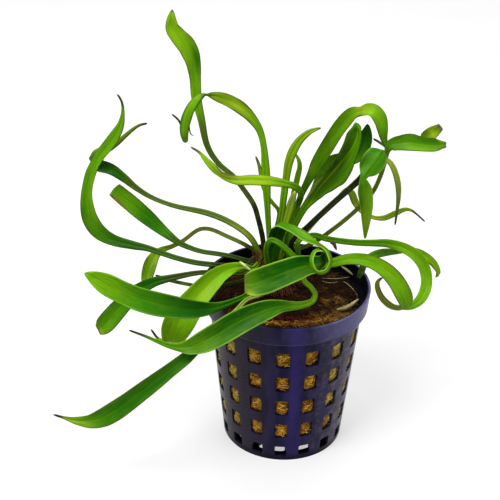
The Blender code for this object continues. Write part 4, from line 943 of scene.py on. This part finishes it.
def square_loop(count):
    """Points round a square of half side 1, with a count of steps to a side."""
    steps = [2 * step / count - 1 for step in range(count)]
    return ([(step, -1.0) for step in steps] + [(1.0, step) for step in steps]
            + [(-step, 1.0) for step in steps] + [(-1.0, -step) for step in steps])


def window_cell(shape, surface, cell, window, count=CELL_STEPS):
    """One cell of a surface, in rings of faces from its edge inwards to a round-cornered window."""
    left, right, low, high = cell
    outline = square_loop(count)
    rings = []
    for ring in range(WINDOW_RINGS + 1):
        share = ring / WINDOW_RINGS
        loop = []
        for x, y in outline:
            soften = (abs(x) ** CORNER_POWER + abs(y) ** CORNER_POWER) ** (-1 / CORNER_POWER)
            outer = (left + (right - left) * (x + 1) / 2, low + (high - low) * (y + 1) / 2)
            inner = (window[0] + (window[1] - window[0]) * (x * soften + 1) / 2,
                     window[2] + (window[3] - window[2]) * (y * soften + 1) / 2)
            turn, level = (a + (b - a) * share for a, b in zip(outer, inner))
            loop.append(shape.verts.new(surface(turn, level)))
        rings.append(loop)
    for outer, inner in zip(rings, rings[1:]):
        join_loops(shape, outer, inner)


def plain_band(shape, surface, low, high, steps=1):
    """A closed band of faces all round between two levels, split as finely as the window cells."""
    rings = []
    for step in range(steps + 1):
        level = low + (high - low) * step / steps
        rings.append([shape.verts.new(surface(turn, level)) for turn in WALL_TURNS])
    for bottom, top in zip(rings, rings[1:]):
        join_loops(shape, bottom, top)


def floor_surface(turn, radius):
    return around(radius, turn, 0.0)


def wall_surface(turn, height):
    return around(wall_radius(height), turn, height)


def collar_surface(turn, level):
    """The collar's step, face and lip: level 0 to 1 is the step out, and 1 to 2 the way up to the rim."""
    if level <= 1.0:
        return around(SHOULDER_RADIUS + (COLLAR_RADIUS - SHOULDER_RADIUS) * level, turn, SHOULDER_HEIGHT)
    share = level - 1.0
    radius = COLLAR_RADIUS + (RIM_RADIUS - COLLAR_RADIUS) * share
    return around(radius, turn, SHOULDER_HEIGHT + COLLAR_HEIGHT * share)


def make_pot(material):
    """The net pot: one skin of wall, collar and floor, thickened inwards and with rounded edges."""
    shape = bmesh.new()
    window_rows = [FOOT_SLOT]
    window_rows += [(FIRST_WINDOW + row * WINDOW_PITCH, FIRST_WINDOW + row * WINDOW_PITCH + WINDOW_HEIGHT)
                    for row in range(WINDOW_ROWS)]
    edges = [0.0] + [(below[1] + above[0]) / 2 for below, above in zip(window_rows, window_rows[1:])]
    edges.append(window_rows[-1][1] + (WINDOW_PITCH - WINDOW_HEIGHT) / 2)
    for row, (low, high) in enumerate(window_rows):
        for column in range(COLUMNS):
            turn = COLUMN_TURN + column * COLUMN_PITCH
            cell = (turn - COLUMN_PITCH / 2, turn + COLUMN_PITCH / 2, edges[row], edges[row + 1])
            window = (turn - WINDOW_SPAN / 2, turn + WINDOW_SPAN / 2, low, high)
            window_cell(shape, wall_surface, cell, window)
    plain_band(shape, wall_surface, edges[-1], SHOULDER_HEIGHT)
    plain_band(shape, collar_surface, 0.0, 1.0)
    plain_band(shape, collar_surface, 1.0, 2.0, 4)
    plain_band(shape, floor_surface, FLOOR_RING_RADIUS + FLOOR_LIP, BASE_RADIUS, 3)
    for opening in range(FLOOR_OPENINGS):
        turn = COLUMN_TURN + (2 * opening - 0.5) * COLUMN_PITCH
        half = (COLUMN_PITCH + WINDOW_SPAN) / 2
        cell = (turn - COLUMN_PITCH, turn + COLUMN_PITCH,
                HUB_RADIUS - FLOOR_LIP, FLOOR_RING_RADIUS + FLOOR_LIP)
        window = (turn - half, turn + half, HUB_RADIUS, FLOOR_RING_RADIUS)
        window_cell(shape, floor_surface, cell, window, 2 * CELL_STEPS)
    hub = [shape.verts.new(floor_surface(turn, HUB_RADIUS - FLOOR_LIP)) for turn in WALL_TURNS]
    middle = shape.verts.new((0.0, 0.0, 0.0))
    for first, second in zip(hub, [*hub[1:], hub[0]]):
        shape.faces.new((middle, first, second))
    bmesh.ops.remove_doubles(shape, verts=shape.verts, dist=0.002 * MM)
    pot = finish_mesh("net_pot", bpy.data.meshes.new("net_pot"), shape, material)
    wall = pot.modifiers.new("wall", "SOLIDIFY")
    wall.thickness = WALL
    wall.offset = -1.0
    wall.use_even_offset = True
    edge = pot.modifiers.new("edge", "BEVEL")
    edge.width = EDGE_ROUNDING
    edge.segments = 2
    edge.limit_method = "ANGLE"
    edge.angle_limit = SHARP_EDGE
    edge.harden_normals = True
    place_piece(pot, "pot_plastic", "pot")


# The rock wool

WOOL_AROUND = 224
WOOL_LEVELS = 96
WOOL_RINGS = 44
WOOL_EDGE = 23.6 * MM
FRONT_BAND = 8.3 * MM
BAND_REACH = 3.0 * MM
BAND_MIDDLE = 1.0 * MM
BAND_HALF = 13.0 * MM
FLANK_START = 12.0 * MM
FLANK_REACH = 8.0 * MM
FLANK_TOP = 49.0 * MM
WOOL_FOOT = 7.0 * MM
WOOL_SHOULDER = 0.9 * MM
WOOL_CLEARANCE = 0.25 * MM
WINDOW_SWELL = 0.76 * MM
MOST_SWELL = 0.8 * MM
SIDE_LUMPS = ((0.75 * MM, 2.1 * MM), (0.35 * MM, 0.8 * MM))
HOLLOWS = (1.5 * MM, 5.5 * MM, 0.15)
TOP_LUMPS = ((0.55 * MM, 4.5 * MM), (0.40 * MM, 1.7 * MM), (0.22 * MM, 0.7 * MM))
TOP_RISE = 0.9 * MM
WOOL_UNDERSIDE = ((16.6 * MM, 7.0 * MM), (12.0 * MM, 3.1 * MM), (HUB_RADIUS - 0.6 * MM, 1.4 * MM))
SKIN_DEPTH = 0.55 * MM
SIDE_FIBRES = 46
SIDE_REACH = 0.62
SPIKES = 14
SPIKE_REACH = 0.42
SPIKE_DEPTH = 0.6 * MM
TOP_FIBRES = 4200
FRONT_FIBRES = 420
RED_SPECKS = 220
TOP_BEND = 0.8
GOLD_SPOT = Vector((17.0 * MM, -13.0 * MM, 0.0))
GOLD_REACH = 8.0 * MM
GOLD_PATCHES = ((0.5, 5 * MM), (0.3, 1.4 * MM))
BAND_GOLD = 0.50
SPOT_GOLD = 0.75
PATCH_GOLD = 1.3
GOLD_START = 0.12
rng = random.Random(11)


def window_middle(row):
    return FIRST_WINDOW + WINDOW_HEIGHT / 2 + row * WINDOW_PITCH


def window_depth(turn, height):
    """How far into a window a place on the wall lies: 1 in its middle, 0 on the wall between windows."""
    half = COLUMN_PITCH / 2
    across = ((turn - COLUMN_TURN + half) % COLUMN_PITCH - half) / (WINDOW_SPAN / 2)
    row = round((height - window_middle(0)) / WINDOW_PITCH)
    row = min(max(row, 0), WINDOW_ROWS - 1)
    along = (height - window_middle(row)) / (WINDOW_HEIGHT / 2)
    return max(0.0, 1 - across ** 2) * max(0.0, 1 - along ** 2)


def uneven(place, lumps):
    """How much lumps, each (height, size), add at a place."""
    return sum(height * noise.noise(place / size) for height, size in lumps)


def wool_side(turn, height):
    """The plug's side: just inside the wall, swelling into the windows, with lumps and hollows."""
    inside = wall_radius(height) - WALL - WOOL_CLEARANCE
    place = around(inside, turn, height)
    depth, size, start = HOLLOWS
    hollow = depth * max(0.0, noise.noise(place / size) - start)
    swell = WINDOW_SWELL * window_depth(turn, height) + uneven(place, SIDE_LUMPS) - hollow
    return inside + min(swell, MOST_SWELL)


def wool_top(x, y):
    """Height of the plug's top, which is lumpy and rises towards its middle."""
    place = Vector((x, y, 0.0))
    rise = TOP_RISE * (1 - (place.length / WOOL_EDGE) ** 2)
    return WOOL_TOP + rise + uneven(place, TOP_LUMPS)


def band_front(x):
    """The line on the top where the golden band behind the front of the rim begins."""
    return FRONT_BAND - math.sqrt((RIM_RADIUS - WALL) ** 2 - x * x)


def gold_share(x, y):
    """How golden the top is: most at its front right, and in lumps along the front."""
    place = Vector((x, y, 0.0))
    edge = min(max(1 - (y - band_front(x)) / BAND_REACH, 0.0), 1.0)
    edge *= bell(x, BAND_MIDDLE, BAND_HALF)
    right = bell((place - GOLD_SPOT).length, 0.0, GOLD_REACH)
    share = BAND_GOLD * edge + SPOT_GOLD * right + PATCH_GOLD * uneven(place, GOLD_PATCHES) - GOLD_START
    return min(max(share, 0.0), 1.0)


def make_wool(material):
    """The plug as one closed mesh: its sides, its top, and its underside stepped in to the pot's hub."""
    points = []
    gold = []
    for level in range(WOOL_LEVELS):
        height = WOOL_FOOT + (WOOL_TOP - WOOL_SHOULDER - WOOL_FOOT) * level / (WOOL_LEVELS - 1)
        for side in range(WOOL_AROUND):
            turn = math.tau * side / WOOL_AROUND
            points.append(around(wool_side(turn, height), turn, height))
            gold.append(1.0)
    for ring in range(1, WOOL_RINGS):
        radius = WOOL_EDGE * (1 - ring / WOOL_RINGS)
        for side in range(WOOL_AROUND):
            spot = around(radius, math.tau * side / WOOL_AROUND, 0.0)
            spot.z = wool_top(spot.x, spot.y)
            points.append(spot)
            gold.append(gold_share(spot.x, spot.y))
    for radius, height in WOOL_UNDERSIDE:
        for side in range(WOOL_AROUND):
            points.append(around(radius, math.tau * side / WOOL_AROUND, height))
            gold.append(0.6)
    levels = WOOL_LEVELS + WOOL_RINGS - 1
    order = [levels + 2, levels + 1, levels] + list(range(levels))
    faces = []
    for low, high in zip(order, order[1:]):
        faces += ring_faces(low * WOOL_AROUND, high * WOOL_AROUND, WOOL_AROUND)
    for level, height in ((order[0], WOOL_UNDERSIDE[-1][1]), (order[-1], wool_top(0.0, 0.0))):
        points.append(Vector((0.0, 0.0, height)))
        gold.append(gold[level * WOOL_AROUND])
        faces += cap_faces(level * WOOL_AROUND, len(points) - 1, WOOL_AROUND)
    wool = add_mesh("wool_plug", points, faces, material, {"gold": gold})
    place_piece(wool, "rock_wool", "rock_wool")


def curl(start, along, away, length, bend, steps=5):
    """A thread's line: it runs along, curves to one side, and keeps off what it lies on."""
    side = along.cross(away).normalized()
    turn = rng.uniform(-bend, bend)
    line = []
    for step in range(steps + 1):
        share = step / steps - 0.5
        line.append(start + along * (length * share) + side * (turn * length * (share * share - 0.08))
                    + away * (0.12 * length * (0.25 - share * share)))
    return line


def out_and_level(turn):
    """The directions straight out from an upright axis, and level round it."""
    out = around(1.0, turn, 0.0)
    return out, Vector((-out.y, out.x, 0.0))


def place_in_window(column, row, reach):
    """A place picked in or just round a window: its turn and height."""
    turn = COLUMN_TURN + column * COLUMN_PITCH + rng.uniform(-reach, reach) * WINDOW_SPAN
    return turn, window_middle(row) + rng.uniform(-reach, reach) * WINDOW_HEIGHT


def make_side_fibres(material):
    """Fibres that tangle over the wool in every window, and short ones that stand out of it."""
    strands = Strands()
    for column in range(COLUMNS):
        for row in range(WINDOW_ROWS):
            for _ in range(SIDE_FIBRES):
                turn, height = place_in_window(column, row, SIDE_REACH)
                out, level = out_and_level(turn)
                angle = rng.uniform(-1.2, 1.2)
                along = (level * math.cos(angle) + UP * math.sin(angle)).normalized()
                length = rng.uniform(1.4, 4.2) * MM
                radius = wool_side(turn, height) + rng.uniform(0.0, 0.25) * MM
                radius = min(radius, wall_radius(height) - SKIN_DEPTH)
                strands.add(curl(around(radius, turn, height), along, out, length, 0.7, 4),
                            rng.uniform(0.06, 0.13) * MM, rng.triangular(0.05, 1.0, 0.62))
            for _ in range(SPIKES):
                turn, height = place_in_window(column, row, SPIKE_REACH)
                out, level = out_and_level(turn)
                along = out * rng.uniform(0.25, 0.6)
                along += level * rng.uniform(-1, 1) + UP * rng.uniform(-1, 1)
                start = around(wall_radius(height) - SPIKE_DEPTH, turn, height)
                strands.add(curl(start, along.normalized(), out, rng.uniform(0.8, 1.9) * MM, 0.6, 4),
                            rng.uniform(0.05, 0.09) * MM, rng.uniform(0.5, 1.0))
    place_piece(strands.build("wool_side_fibres", material), "rock_wool")


def make_top_fibres(material):
    """Fibres that lie all over the plug's top, and short ones along its front."""
    strands = Strands()
    for _ in range(TOP_FIBRES):
        radius = WOOL_EDGE * math.sqrt(rng.random())
        spot = around(radius, rng.uniform(0.0, math.tau), 0.0)
        gold = gold_share(spot.x, spot.y)
        spot.z = wool_top(spot.x, spot.y) + rng.uniform(-0.05, 0.35) * MM
        angle = rng.uniform(0.0, math.tau)
        along = Vector((math.cos(angle), math.sin(angle), rng.uniform(-0.25, 0.25))).normalized()
        shade = min(max(0.75 * gold + rng.uniform(-0.28, 0.10), 0.0), 1.0)
        length = rng.uniform(1.2, 5.0) * MM
        strands.add(curl(spot, along, UP, length, TOP_BEND, 4), rng.uniform(0.06, 0.13) * MM, shade)
    for _ in range(FRONT_FIBRES):
        turn = rng.uniform(-2.6, -0.5)
        x = rng.uniform(-15.0, 14.0) * MM
        spot = Vector((x, band_front(x) + rng.triangular(-0.5, 2.6, 0.3) * MM, 0.0))
        spot.z = wool_top(spot.x, spot.y) + rng.uniform(0.1, 0.6) * MM
        angle = turn + math.pi / 2 + rng.uniform(-1.0, 1.0)
        along = Vector((math.cos(angle), math.sin(angle), rng.uniform(-0.2, 0.3))).normalized()
        strands.add(curl(spot, along, UP, rng.uniform(0.8, 2.4) * MM, TOP_BEND, 4),
                    rng.uniform(0.06, 0.11) * MM, rng.uniform(0.20, 0.90))
    place_piece(strands.build("wool_top_fibres", material), "rock_wool")


def make_red_specks(material):
    """Short red threads caught in the front of the plug's top."""
    strands = Strands()
    for _ in range(RED_SPECKS):
        x = rng.uniform(-13.0, 8.0) * MM
        spot = Vector((x, band_front(x) + rng.uniform(0.0, 4.5) * MM, 0.0))
        spot.z = wool_top(spot.x, spot.y) + rng.uniform(0.2, 0.5) * MM
        angle = rng.uniform(0.0, math.tau)
        along = Vector((math.cos(angle), math.sin(angle), rng.uniform(-0.2, 0.3))).normalized()
        thread = curl(spot, along, UP, rng.uniform(0.5, 1.4) * MM, TOP_BEND, 4)
        strands.add(thread, rng.uniform(0.10, 0.20) * MM, 0.5)
    place_piece(strands.build("wool_red_specks", material), "rock_wool")


# The crown, roots and scraps

CROWN_SIDES = 96
CROWN_LEVELS = 28
CROWN_ENDS = (CROWN_FOOT - 1.2 * MM, CROWN_TOP - 0.2 * MM)
CROWN_DOME = 0.4 * MM
OLD_BASES = 11
OLD_BASE_LEAN = 1.1
OLD_BASE_RELIEF = 0.10
CROWN_LUMP = (0.25 * MM, 1.2 * MM)
CROWN_FIBRES = 240
STALK_FIBRES = 60


def make_crown(material):
    """The rootstock: a drum of overlapping leaf bases."""
    sides = CROWN_SIDES
    levels = CROWN_LEVELS
    points = []
    rises = []
    turns = []
    for level in range(levels + 1):
        rise = level / levels
        for side in range(sides):
            turn = math.tau * side / sides
            swirl = OLD_BASES * (turn + OLD_BASE_LEAN * rise) / math.tau
            ridge = abs(2 * (swirl % 1.0) - 1)
            relief = 1 - OLD_BASE_RELIEF * (1 - ridge)
            radius = CROWN_RADIUS * (1.02 - 0.42 * rise ** 2.2) * relief
            spot = around(radius, turn, 0.0) + CROWN_CENTRE
            height, size = CROWN_LUMP
            spot += around(1.0, turn, 0.0) * (height * noise.noise(spot / size + UP * rise * 4))
            spot.z = CROWN_ENDS[0] + (CROWN_ENDS[1] - CROWN_ENDS[0]) * rise
            points.append(spot)
            rises.append(rise)
            turns.append(swirl)
    faces = []
    for level in range(levels):
        faces += ring_faces(level * sides, (level + 1) * sides, sides)
    for level, height in ((0, points[0].z), (levels, points[-1].z + CROWN_DOME)):
        points.append(CROWN_CENTRE + UP * height)
        rises.append(rises[level * sides])
        turns.append(0.0)
        faces += cap_faces(level * sides, len(points) - 1, sides)
    crown = add_mesh("rootstock", points, faces, material, {"rise": rises, "turn": turns})
    place_piece(crown, "crown", "crown")


def make_crown_fibres(material):
    """Red-brown fibres of old leaf bases that hang round the crown onto the wool."""
    strands = Strands()
    for _ in range(CROWN_FIBRES):
        turn = rng.uniform(0.0, math.tau)
        out, level = out_and_level(turn)
        height = rng.uniform(0.0, 4.5) * MM
        reach = rng.uniform(1.5, 5.0) * MM
        start = CROWN_CENTRE + out * (CROWN_RADIUS * 0.92) + UP * (CROWN_FOOT + height)
        sway = level * rng.uniform(-1.6, 1.6) * MM
        line = []
        for step in range(6):
            share = step / 5
            spot = start + out * (reach * share) + sway * share * share
            floor = wool_top(spot.x, spot.y) + 0.15 * MM
            spot.z = max(start.z - height * share * (0.4 + 0.6 * share), floor)
            line.append(spot)
        strands.add(line, rng.uniform(0.06, 0.14) * MM, rng.uniform(0.0, 1.0), 0.3)
    place_piece(strands.build("crown_fibres", material), "crown")


def sketch_axes():
    """The sketch's right, up and towards-the-eye directions."""
    towards = Vector((0.0, -math.cos(EYE_PITCH), math.sin(EYE_PITCH)))
    right = Matrix.Rotation(EYE_ROLL, 3, towards) @ Vector((1.0, 0.0, 0.0))
    return right, towards.cross(right), towards


def from_sketch(column, row, depth):
    """The point on the eye's line through a sketch point, as far behind the pot's axis as depth says."""
    right, up, towards = sketch_axes()
    eye = SKETCH_CENTRE + towards * EYE_DISTANCE
    on_sheet = (SKETCH_CENTRE + right * ((column - SKETCH_MIDDLE) / SKETCH_SCALE * MM)
                + up * ((SKETCH_MIDDLE - row) / SKETCH_SCALE * MM))
    line = on_sheet - eye
    return eye + line * ((depth * MM - eye.y) / line.y)


def sketch_line(route, steps):
    """A fine line through sketch points, with a count of steps between each two."""
    points = [from_sketch(*point) for point in route]
    line = []
    for index in range(len(points) - 1):
        around_it = [points[max(index - 1, 0)], points[index], points[index + 1],
                     points[min(index + 2, len(points) - 1)]]
        line += [blend(*around_it, step / steps) for step in range(steps)]
    return line + [points[-1]]


class RoundStrands(Strands):
    """Thicker strands, drawn with more sides."""

    SIDES = 10


def make_strands(skins):
    """The two roots and the dead scrap that stand for solids, with a slightly wavy line."""
    for name, (skin, slot, width, route) in STRANDS.items():
        line = sketch_line(route, 8)
        line = [point + Vector((0.0, 0.0, 0.12 * MM * noise.noise(point / (1.5 * MM)))) for point in line]
        strand = RoundStrands()
        strand.add(line, width / 2, 0.5, 0.30)
        place_piece(strand.build(name + "_strand", skins[skin]), slot, name)


def make_fine_roots(material):
    """Hair roots, pale and thin, that wander over the wool at the back right and the left front."""
    strands = Strands()
    for route in FINE_ROOTS:
        line = []
        for point in sketch_line(route, 5):
            point.z = max(point.z, wool_top(point.x, point.y) + 0.2 * MM)
            line.append(point)
        strands.add(line, 0.13 * MM, 0.7, 0.4)
    place_piece(strands.build("fine_roots", material), "root")


def make_scraps(skins):
    """Dead bits that have no solid of their own."""
    for name, (skin, width, route) in SCRAPS.items():
        strand = RoundStrands()
        strand.add(sketch_line(route, 6), width / 2, 0.5, 0.3)
        place_piece(strand.build(name, skins[skin]), "dead_tissue")


def make_base_fibres(material):
    """Red-brown fibres of old stalks that stand in a tuft on the crown's front left."""
    strands = Strands()
    for _ in range(STALK_FIBRES):
        column = rng.uniform(254.0, 266.0)
        row = rng.uniform(254.0, 265.0)
        depth = rng.uniform(-2.0, 0.5)
        sway = rng.uniform(-5.0, 5.0)
        route = ((column, row, depth), (column + 0.4 * sway, row - 2.0, depth - 0.4),
                 (column + sway, row - rng.uniform(2.0, 6.0), depth - rng.uniform(0.0, 1.0)))
        strands.add(sketch_line(route, 3), rng.uniform(0.10, 0.18) * MM, rng.uniform(0.0, 1.0), 0.3)
    place_piece(strands.build("old_stalk_fibres", material), "crown")


# The leaves


def foot_of(ring, bearing):
    """Where a leaf's foot stands on the crown, and the direction that it grows out in."""
    radius, height = FOOT_RINGS[ring]
    angle = math.radians(bearing)
    lean = radius / FOOT_RINGS["outer"][0]
    out = Vector((math.cos(angle) * lean, math.sin(angle) * lean, FOOT_RISE)).normalized()
    return CROWN_CENTRE + around(radius, angle, height), out


def across_at(tangent, eye, roll):
    """The blade's width direction: square to the line, and turned by roll from flat to the sketch."""
    to_eye = (eye - tangent * eye.dot(tangent)).normalized()
    angle = math.radians(roll)
    return tangent.cross(to_eye) * math.cos(angle) + to_eye * math.sin(angle)


def width_directions(points, rolls):
    """The width direction at each point. A folded point takes the mean of its neighbours."""
    _, _, eye = sketch_axes()
    tangents = tangents_of(points)
    found = [None if roll is FOLD else across_at(tangent, eye, roll)
             for tangent, roll in zip(tangents, rolls)]
    for index, direction in enumerate(found):
        if direction is None:
            before = next(found[i] for i in range(index - 1, -1, -1) if found[i] is not None)
            after = next(found[i] for i in range(index + 1, len(found)) if found[i] is not None)
            mean = before + after
            tangent = tangents[index]
            found[index] = (mean - tangent * mean.dot(tangent)).normalized()
    return found


def leaf_line(ring, bearing, route):
    """The points, widths and rolls of a leaf, from its foot on the crown to its tip."""
    points = [from_sketch(column, row, depth) for column, row, depth, _, _ in route]
    widths = [width * MM for _, _, _, width, _ in route]
    rolls = [roll for _, _, _, _, roll in route]
    if ring is not None:
        foot, out = foot_of(ring, bearing)
        points = [foot, foot + out * FOOT_LENGTH, *points]
        widths = [*(widths[0] * share for share in FOOT_WIDTHS), *widths]
        rolls = [rolls[0], rolls[0], *rolls]
    return points, widths, rolls


def stations_of(points, widths, directions):
    """Points along a smooth line, closer where it turns: (point, width, width direction)."""
    stations = []
    for index in range(len(points) - 1):
        ends = [max(index - 1, 0), index, index + 1, min(index + 2, len(points) - 1)]
        p0, p1, p2, p3 = (points[i] for i in ends)
        turn = (p2 - p1).angle(p3 - p2, 0.0) if ends[3] != ends[2] else 0.0
        steps = max(math.ceil((p2 - p1).length / FINE_STEP), math.ceil(turn / FINE_TURN), 1)
        for step in range(steps):
            share = step / steps
            width = max(blend(*(widths[i] for i in ends), share), TIP_END)
            across = directions[index].lerp(directions[index + 1], share)
            stations.append((blend(p0, p1, p2, p3, share), width, across))
    last = widths[-1] if widths[-1] > BLUNT_WIDTH else TIP_END
    stations.append((points[-1], last, directions[-1]))
    return stations


def section_of(width, channel, ripple):
    """The leaf's outline at one place, from edge to edge and back, and how far it is blade, not stalk.

    Each corner is (share of the way across, upper side, distance across, distance up).
    """
    flat = min(max((width - PETIOLE_WIDTH) / (BLADE_WIDTH - PETIOLE_WIDTH), 0.0), 1.0)
    half = width / 2
    lift = half * CHANNEL * channel * flat
    power = FLANK_POWERS[channel > STEEP_CHANNEL]
    columns = [-1.0, *(-share for share in reversed(ACROSS)), 0.0, *ACROSS, 1.0]
    corners = []
    for upper in (1, -1):
        for share in (columns if upper > 0 else columns[-2:0:-1]):
            rim = abs(share) ** power
            middle = lift * ((1 + CHANNEL_FLOOR) * rim - CHANNEL_FLOOR)
            middle += ripple * flat * math.copysign(rim ** 2, share)
            bulge = math.sqrt(max(1 - share * share, 0.0))
            thickness = BLADE_THICKNESS / 2 * (RIM_THICKNESS + (1 - RIM_THICKNESS) * bulge)
            if abs(share) == 1:
                thickness = 0.0
            if upper > 0:
                depth, reach = STALK_GROOVE
                stalk = half * bulge * STALK_TOP - half * depth * bell(share, 0.0, reach)
                detail = -MIDRIB[0] * bell(share, 0.0, 0.10)
                detail -= sum(VEIN_RELIEF[0] * bell(abs(share), vein, 0.06) for vein in VEINS)
            else:
                stalk = half * bulge * STALK_UNDER
                detail = MIDRIB[1] * bell(share, 0.0, 0.12)
                detail += sum(VEIN_RELIEF[1] * bell(abs(share), vein, 0.07) for vein in VEINS)
            blade = middle + upper * (thickness + detail)
            rise = upper * stalk * (1 - flat) + blade * flat
            side = 0.5 if abs(share) == 1 else (1.0 if upper > 0 else 0.0)
            corners.append((share, side, half * share, rise))
    return corners, flat


PATCH_MARKS = ("bright", "deep", "yellow", "brown", "dark")


def patch_at(node, mark, along, across):
    """How strongly a mark's patches colour a place on a leaf."""
    found = 0.0
    for name, centre, side, reach, spread, strength in PATCHES.get(node, ()):
        if name == mark:
            found = max(found, strength * bell(along, centre, reach) * bell(across, side, spread))
    return found


def make_leaf(node, material, slot):
    """One leaf as a closed mesh: round grooved stalk, veined channelled blade, thread tip."""
    ring, bearing, channel, route = LEAVES[node]
    points, widths, rolls = leaf_line(ring, bearing, route)
    stations = stations_of(points, widths, width_directions(points, rolls))
    line = [point for point, _, _ in stations]
    phase = 1.7 * sum(ord(letter) for letter in node)
    length = sum((after - before).length for before, after in zip(line, line[1:]))
    marks = {name: [] for name in ("across", "upper", "blade", "reach", "share", "tip", *PATCH_MARKS)}
    mesh_points = []
    run = 0.0
    for index, ((point, width, across), tangent) in enumerate(zip(stations, tangents_of(line))):
        if index:
            run += (point - line[index - 1]).length
        across = (across - tangent * across.dot(tangent)).normalized()
        up = across.cross(tangent)
        ripple = sum(height * math.sin(run / pitch + phase) for height, pitch in RIPPLES)
        corners, flat = section_of(width, channel, ripple)
        thin = 1 - min(max((width - THREAD_WIDTH) / (TIP_WIDTH - THREAD_WIDTH), 0.0), 1.0)
        near = 1 - min((length - run) / TIP_STAIN, 1.0)
        for share, side, x, y in corners:
            mesh_points.append(point + across * x + up * y)
            marks["across"].append(share)
            marks["upper"].append(side)
            marks["blade"].append(max(flat, min((run / length - BLADE_START) / BLADE_SHARE, 1.0)))
            marks["reach"].append(run * 100 + phase)
            marks["share"].append(run / length)
            marks["tip"].append(max(thin, near) if run > TIP_START * length else 0.0)
            for name in PATCH_MARKS:
                marks[name].append(patch_at(node, name, run / length, share))
    size = len(corners)
    faces = [tuple(range(size)), tuple(range(len(mesh_points) - size, len(mesh_points)))]
    for low in range(0, len(mesh_points) - size, size):
        faces += ring_faces(low, low + size, size)
    leaf = add_mesh(node.replace("leaf_", "sword_"), mesh_points, faces, material, marks)
    place_piece(leaf, slot, node)


def make_leaves():
    """Every leaf. Leaves of the same colours and margin share a material."""
    skins = {}
    for node, looks in LOOKS.items():
        margin = MARGINS.get(node, PLAIN_MARGIN)
        if (looks, margin) not in skins:
            skins[looks, margin] = leaf_skin("leaf_skin_%02d" % len(skins), looks, margin)
        make_leaf(node, skins[looks, margin], LEAF_SLOTS.get(node, "leaf_green"))


# The stage

SHEET_REACH = 4.0
LIGHT_AIM = (0.0, 0.0, 0.06)
WORLD_STRENGTH = 0.48

# Each light: (place, side in metres, power in watts).
LIGHTS = {
    "key_light": ((-0.30, -0.30, 0.75), 0.35, 7.4),
    "fill_light": ((0.55, -0.35, 0.45), 0.5, 1.2),
    "top_light": ((0.05, 0.30, 0.80), 0.5, 4.2),
}


def make_stage():
    corners = [(x * SHEET_REACH, y * SHEET_REACH, 0.0) for x, y in ((-1, -1), (1, -1), (1, 1), (-1, 1))]
    sheet = add_mesh("white_sheet", corners, [(0, 1, 2, 3)], white_sheet())


def make_lights():
    """Square soft lights, turned to the plant, and a pale world round it."""
    for name, (place, size, power) in LIGHTS.items():
        light = bpy.data.lights.new(name, "AREA")
        light.size = size
        light.energy = power
        obj = add_object(name, light)
        obj.location = place
        obj.rotation_euler = (Vector(LIGHT_AIM) - Vector(place)).to_track_quat("-Z", "Y").to_euler()
    world = bpy.data.worlds.new("pale_room")
    world.use_nodes = True
    background = world.node_tree.nodes["Background"]
    background.inputs["Color"].default_value = (1.0, 1.0, 1.0, 1.0)
    background.inputs["Strength"].default_value = WORLD_STRENGTH
    bpy.context.scene.world = world


def make_camera():
    """The camera at the sketch's eye."""
    right, up, towards = sketch_axes()
    camera = bpy.data.cameras.new("camera")
    camera.sensor_width = 36.0
    camera.lens = camera.sensor_width * EYE_DISTANCE / (SKETCH_SIDE / SKETCH_SCALE * MM)
    camera.clip_start = 0.01
    obj = add_object("camera", camera)
    turn = Matrix((right, up, towards)).transposed().to_4x4()
    obj.matrix_world = Matrix.Translation(SKETCH_CENTRE + towards * EYE_DISTANCE) @ turn
    bpy.context.scene.camera = obj


make_camera()
make_pot(pot_plastic())
make_wool(wool_body())
fibre = wool_fibre()
make_side_fibres(fibre)
make_top_fibres(fibre)
make_crown(crown_tissue())
root_skins = {name: root_skin(name, *colours) for name, colours in ROOT_SKINS.items()}
make_crown_fibres(root_skins["old_leaf_fibre"])
make_red_specks(root_skins["red_speck"])
make_strands(root_skins)
make_fine_roots(root_skins["pale_root_skin"])
make_scraps(root_skins)
make_base_fibres(root_skins["old_leaf_fibre"])
make_leaves()
make_stage()
make_lights()
bpy.context.scene.view_settings.view_transform = "Standard"
bpy.context.scene.view_settings.look = "Medium High Contrast"
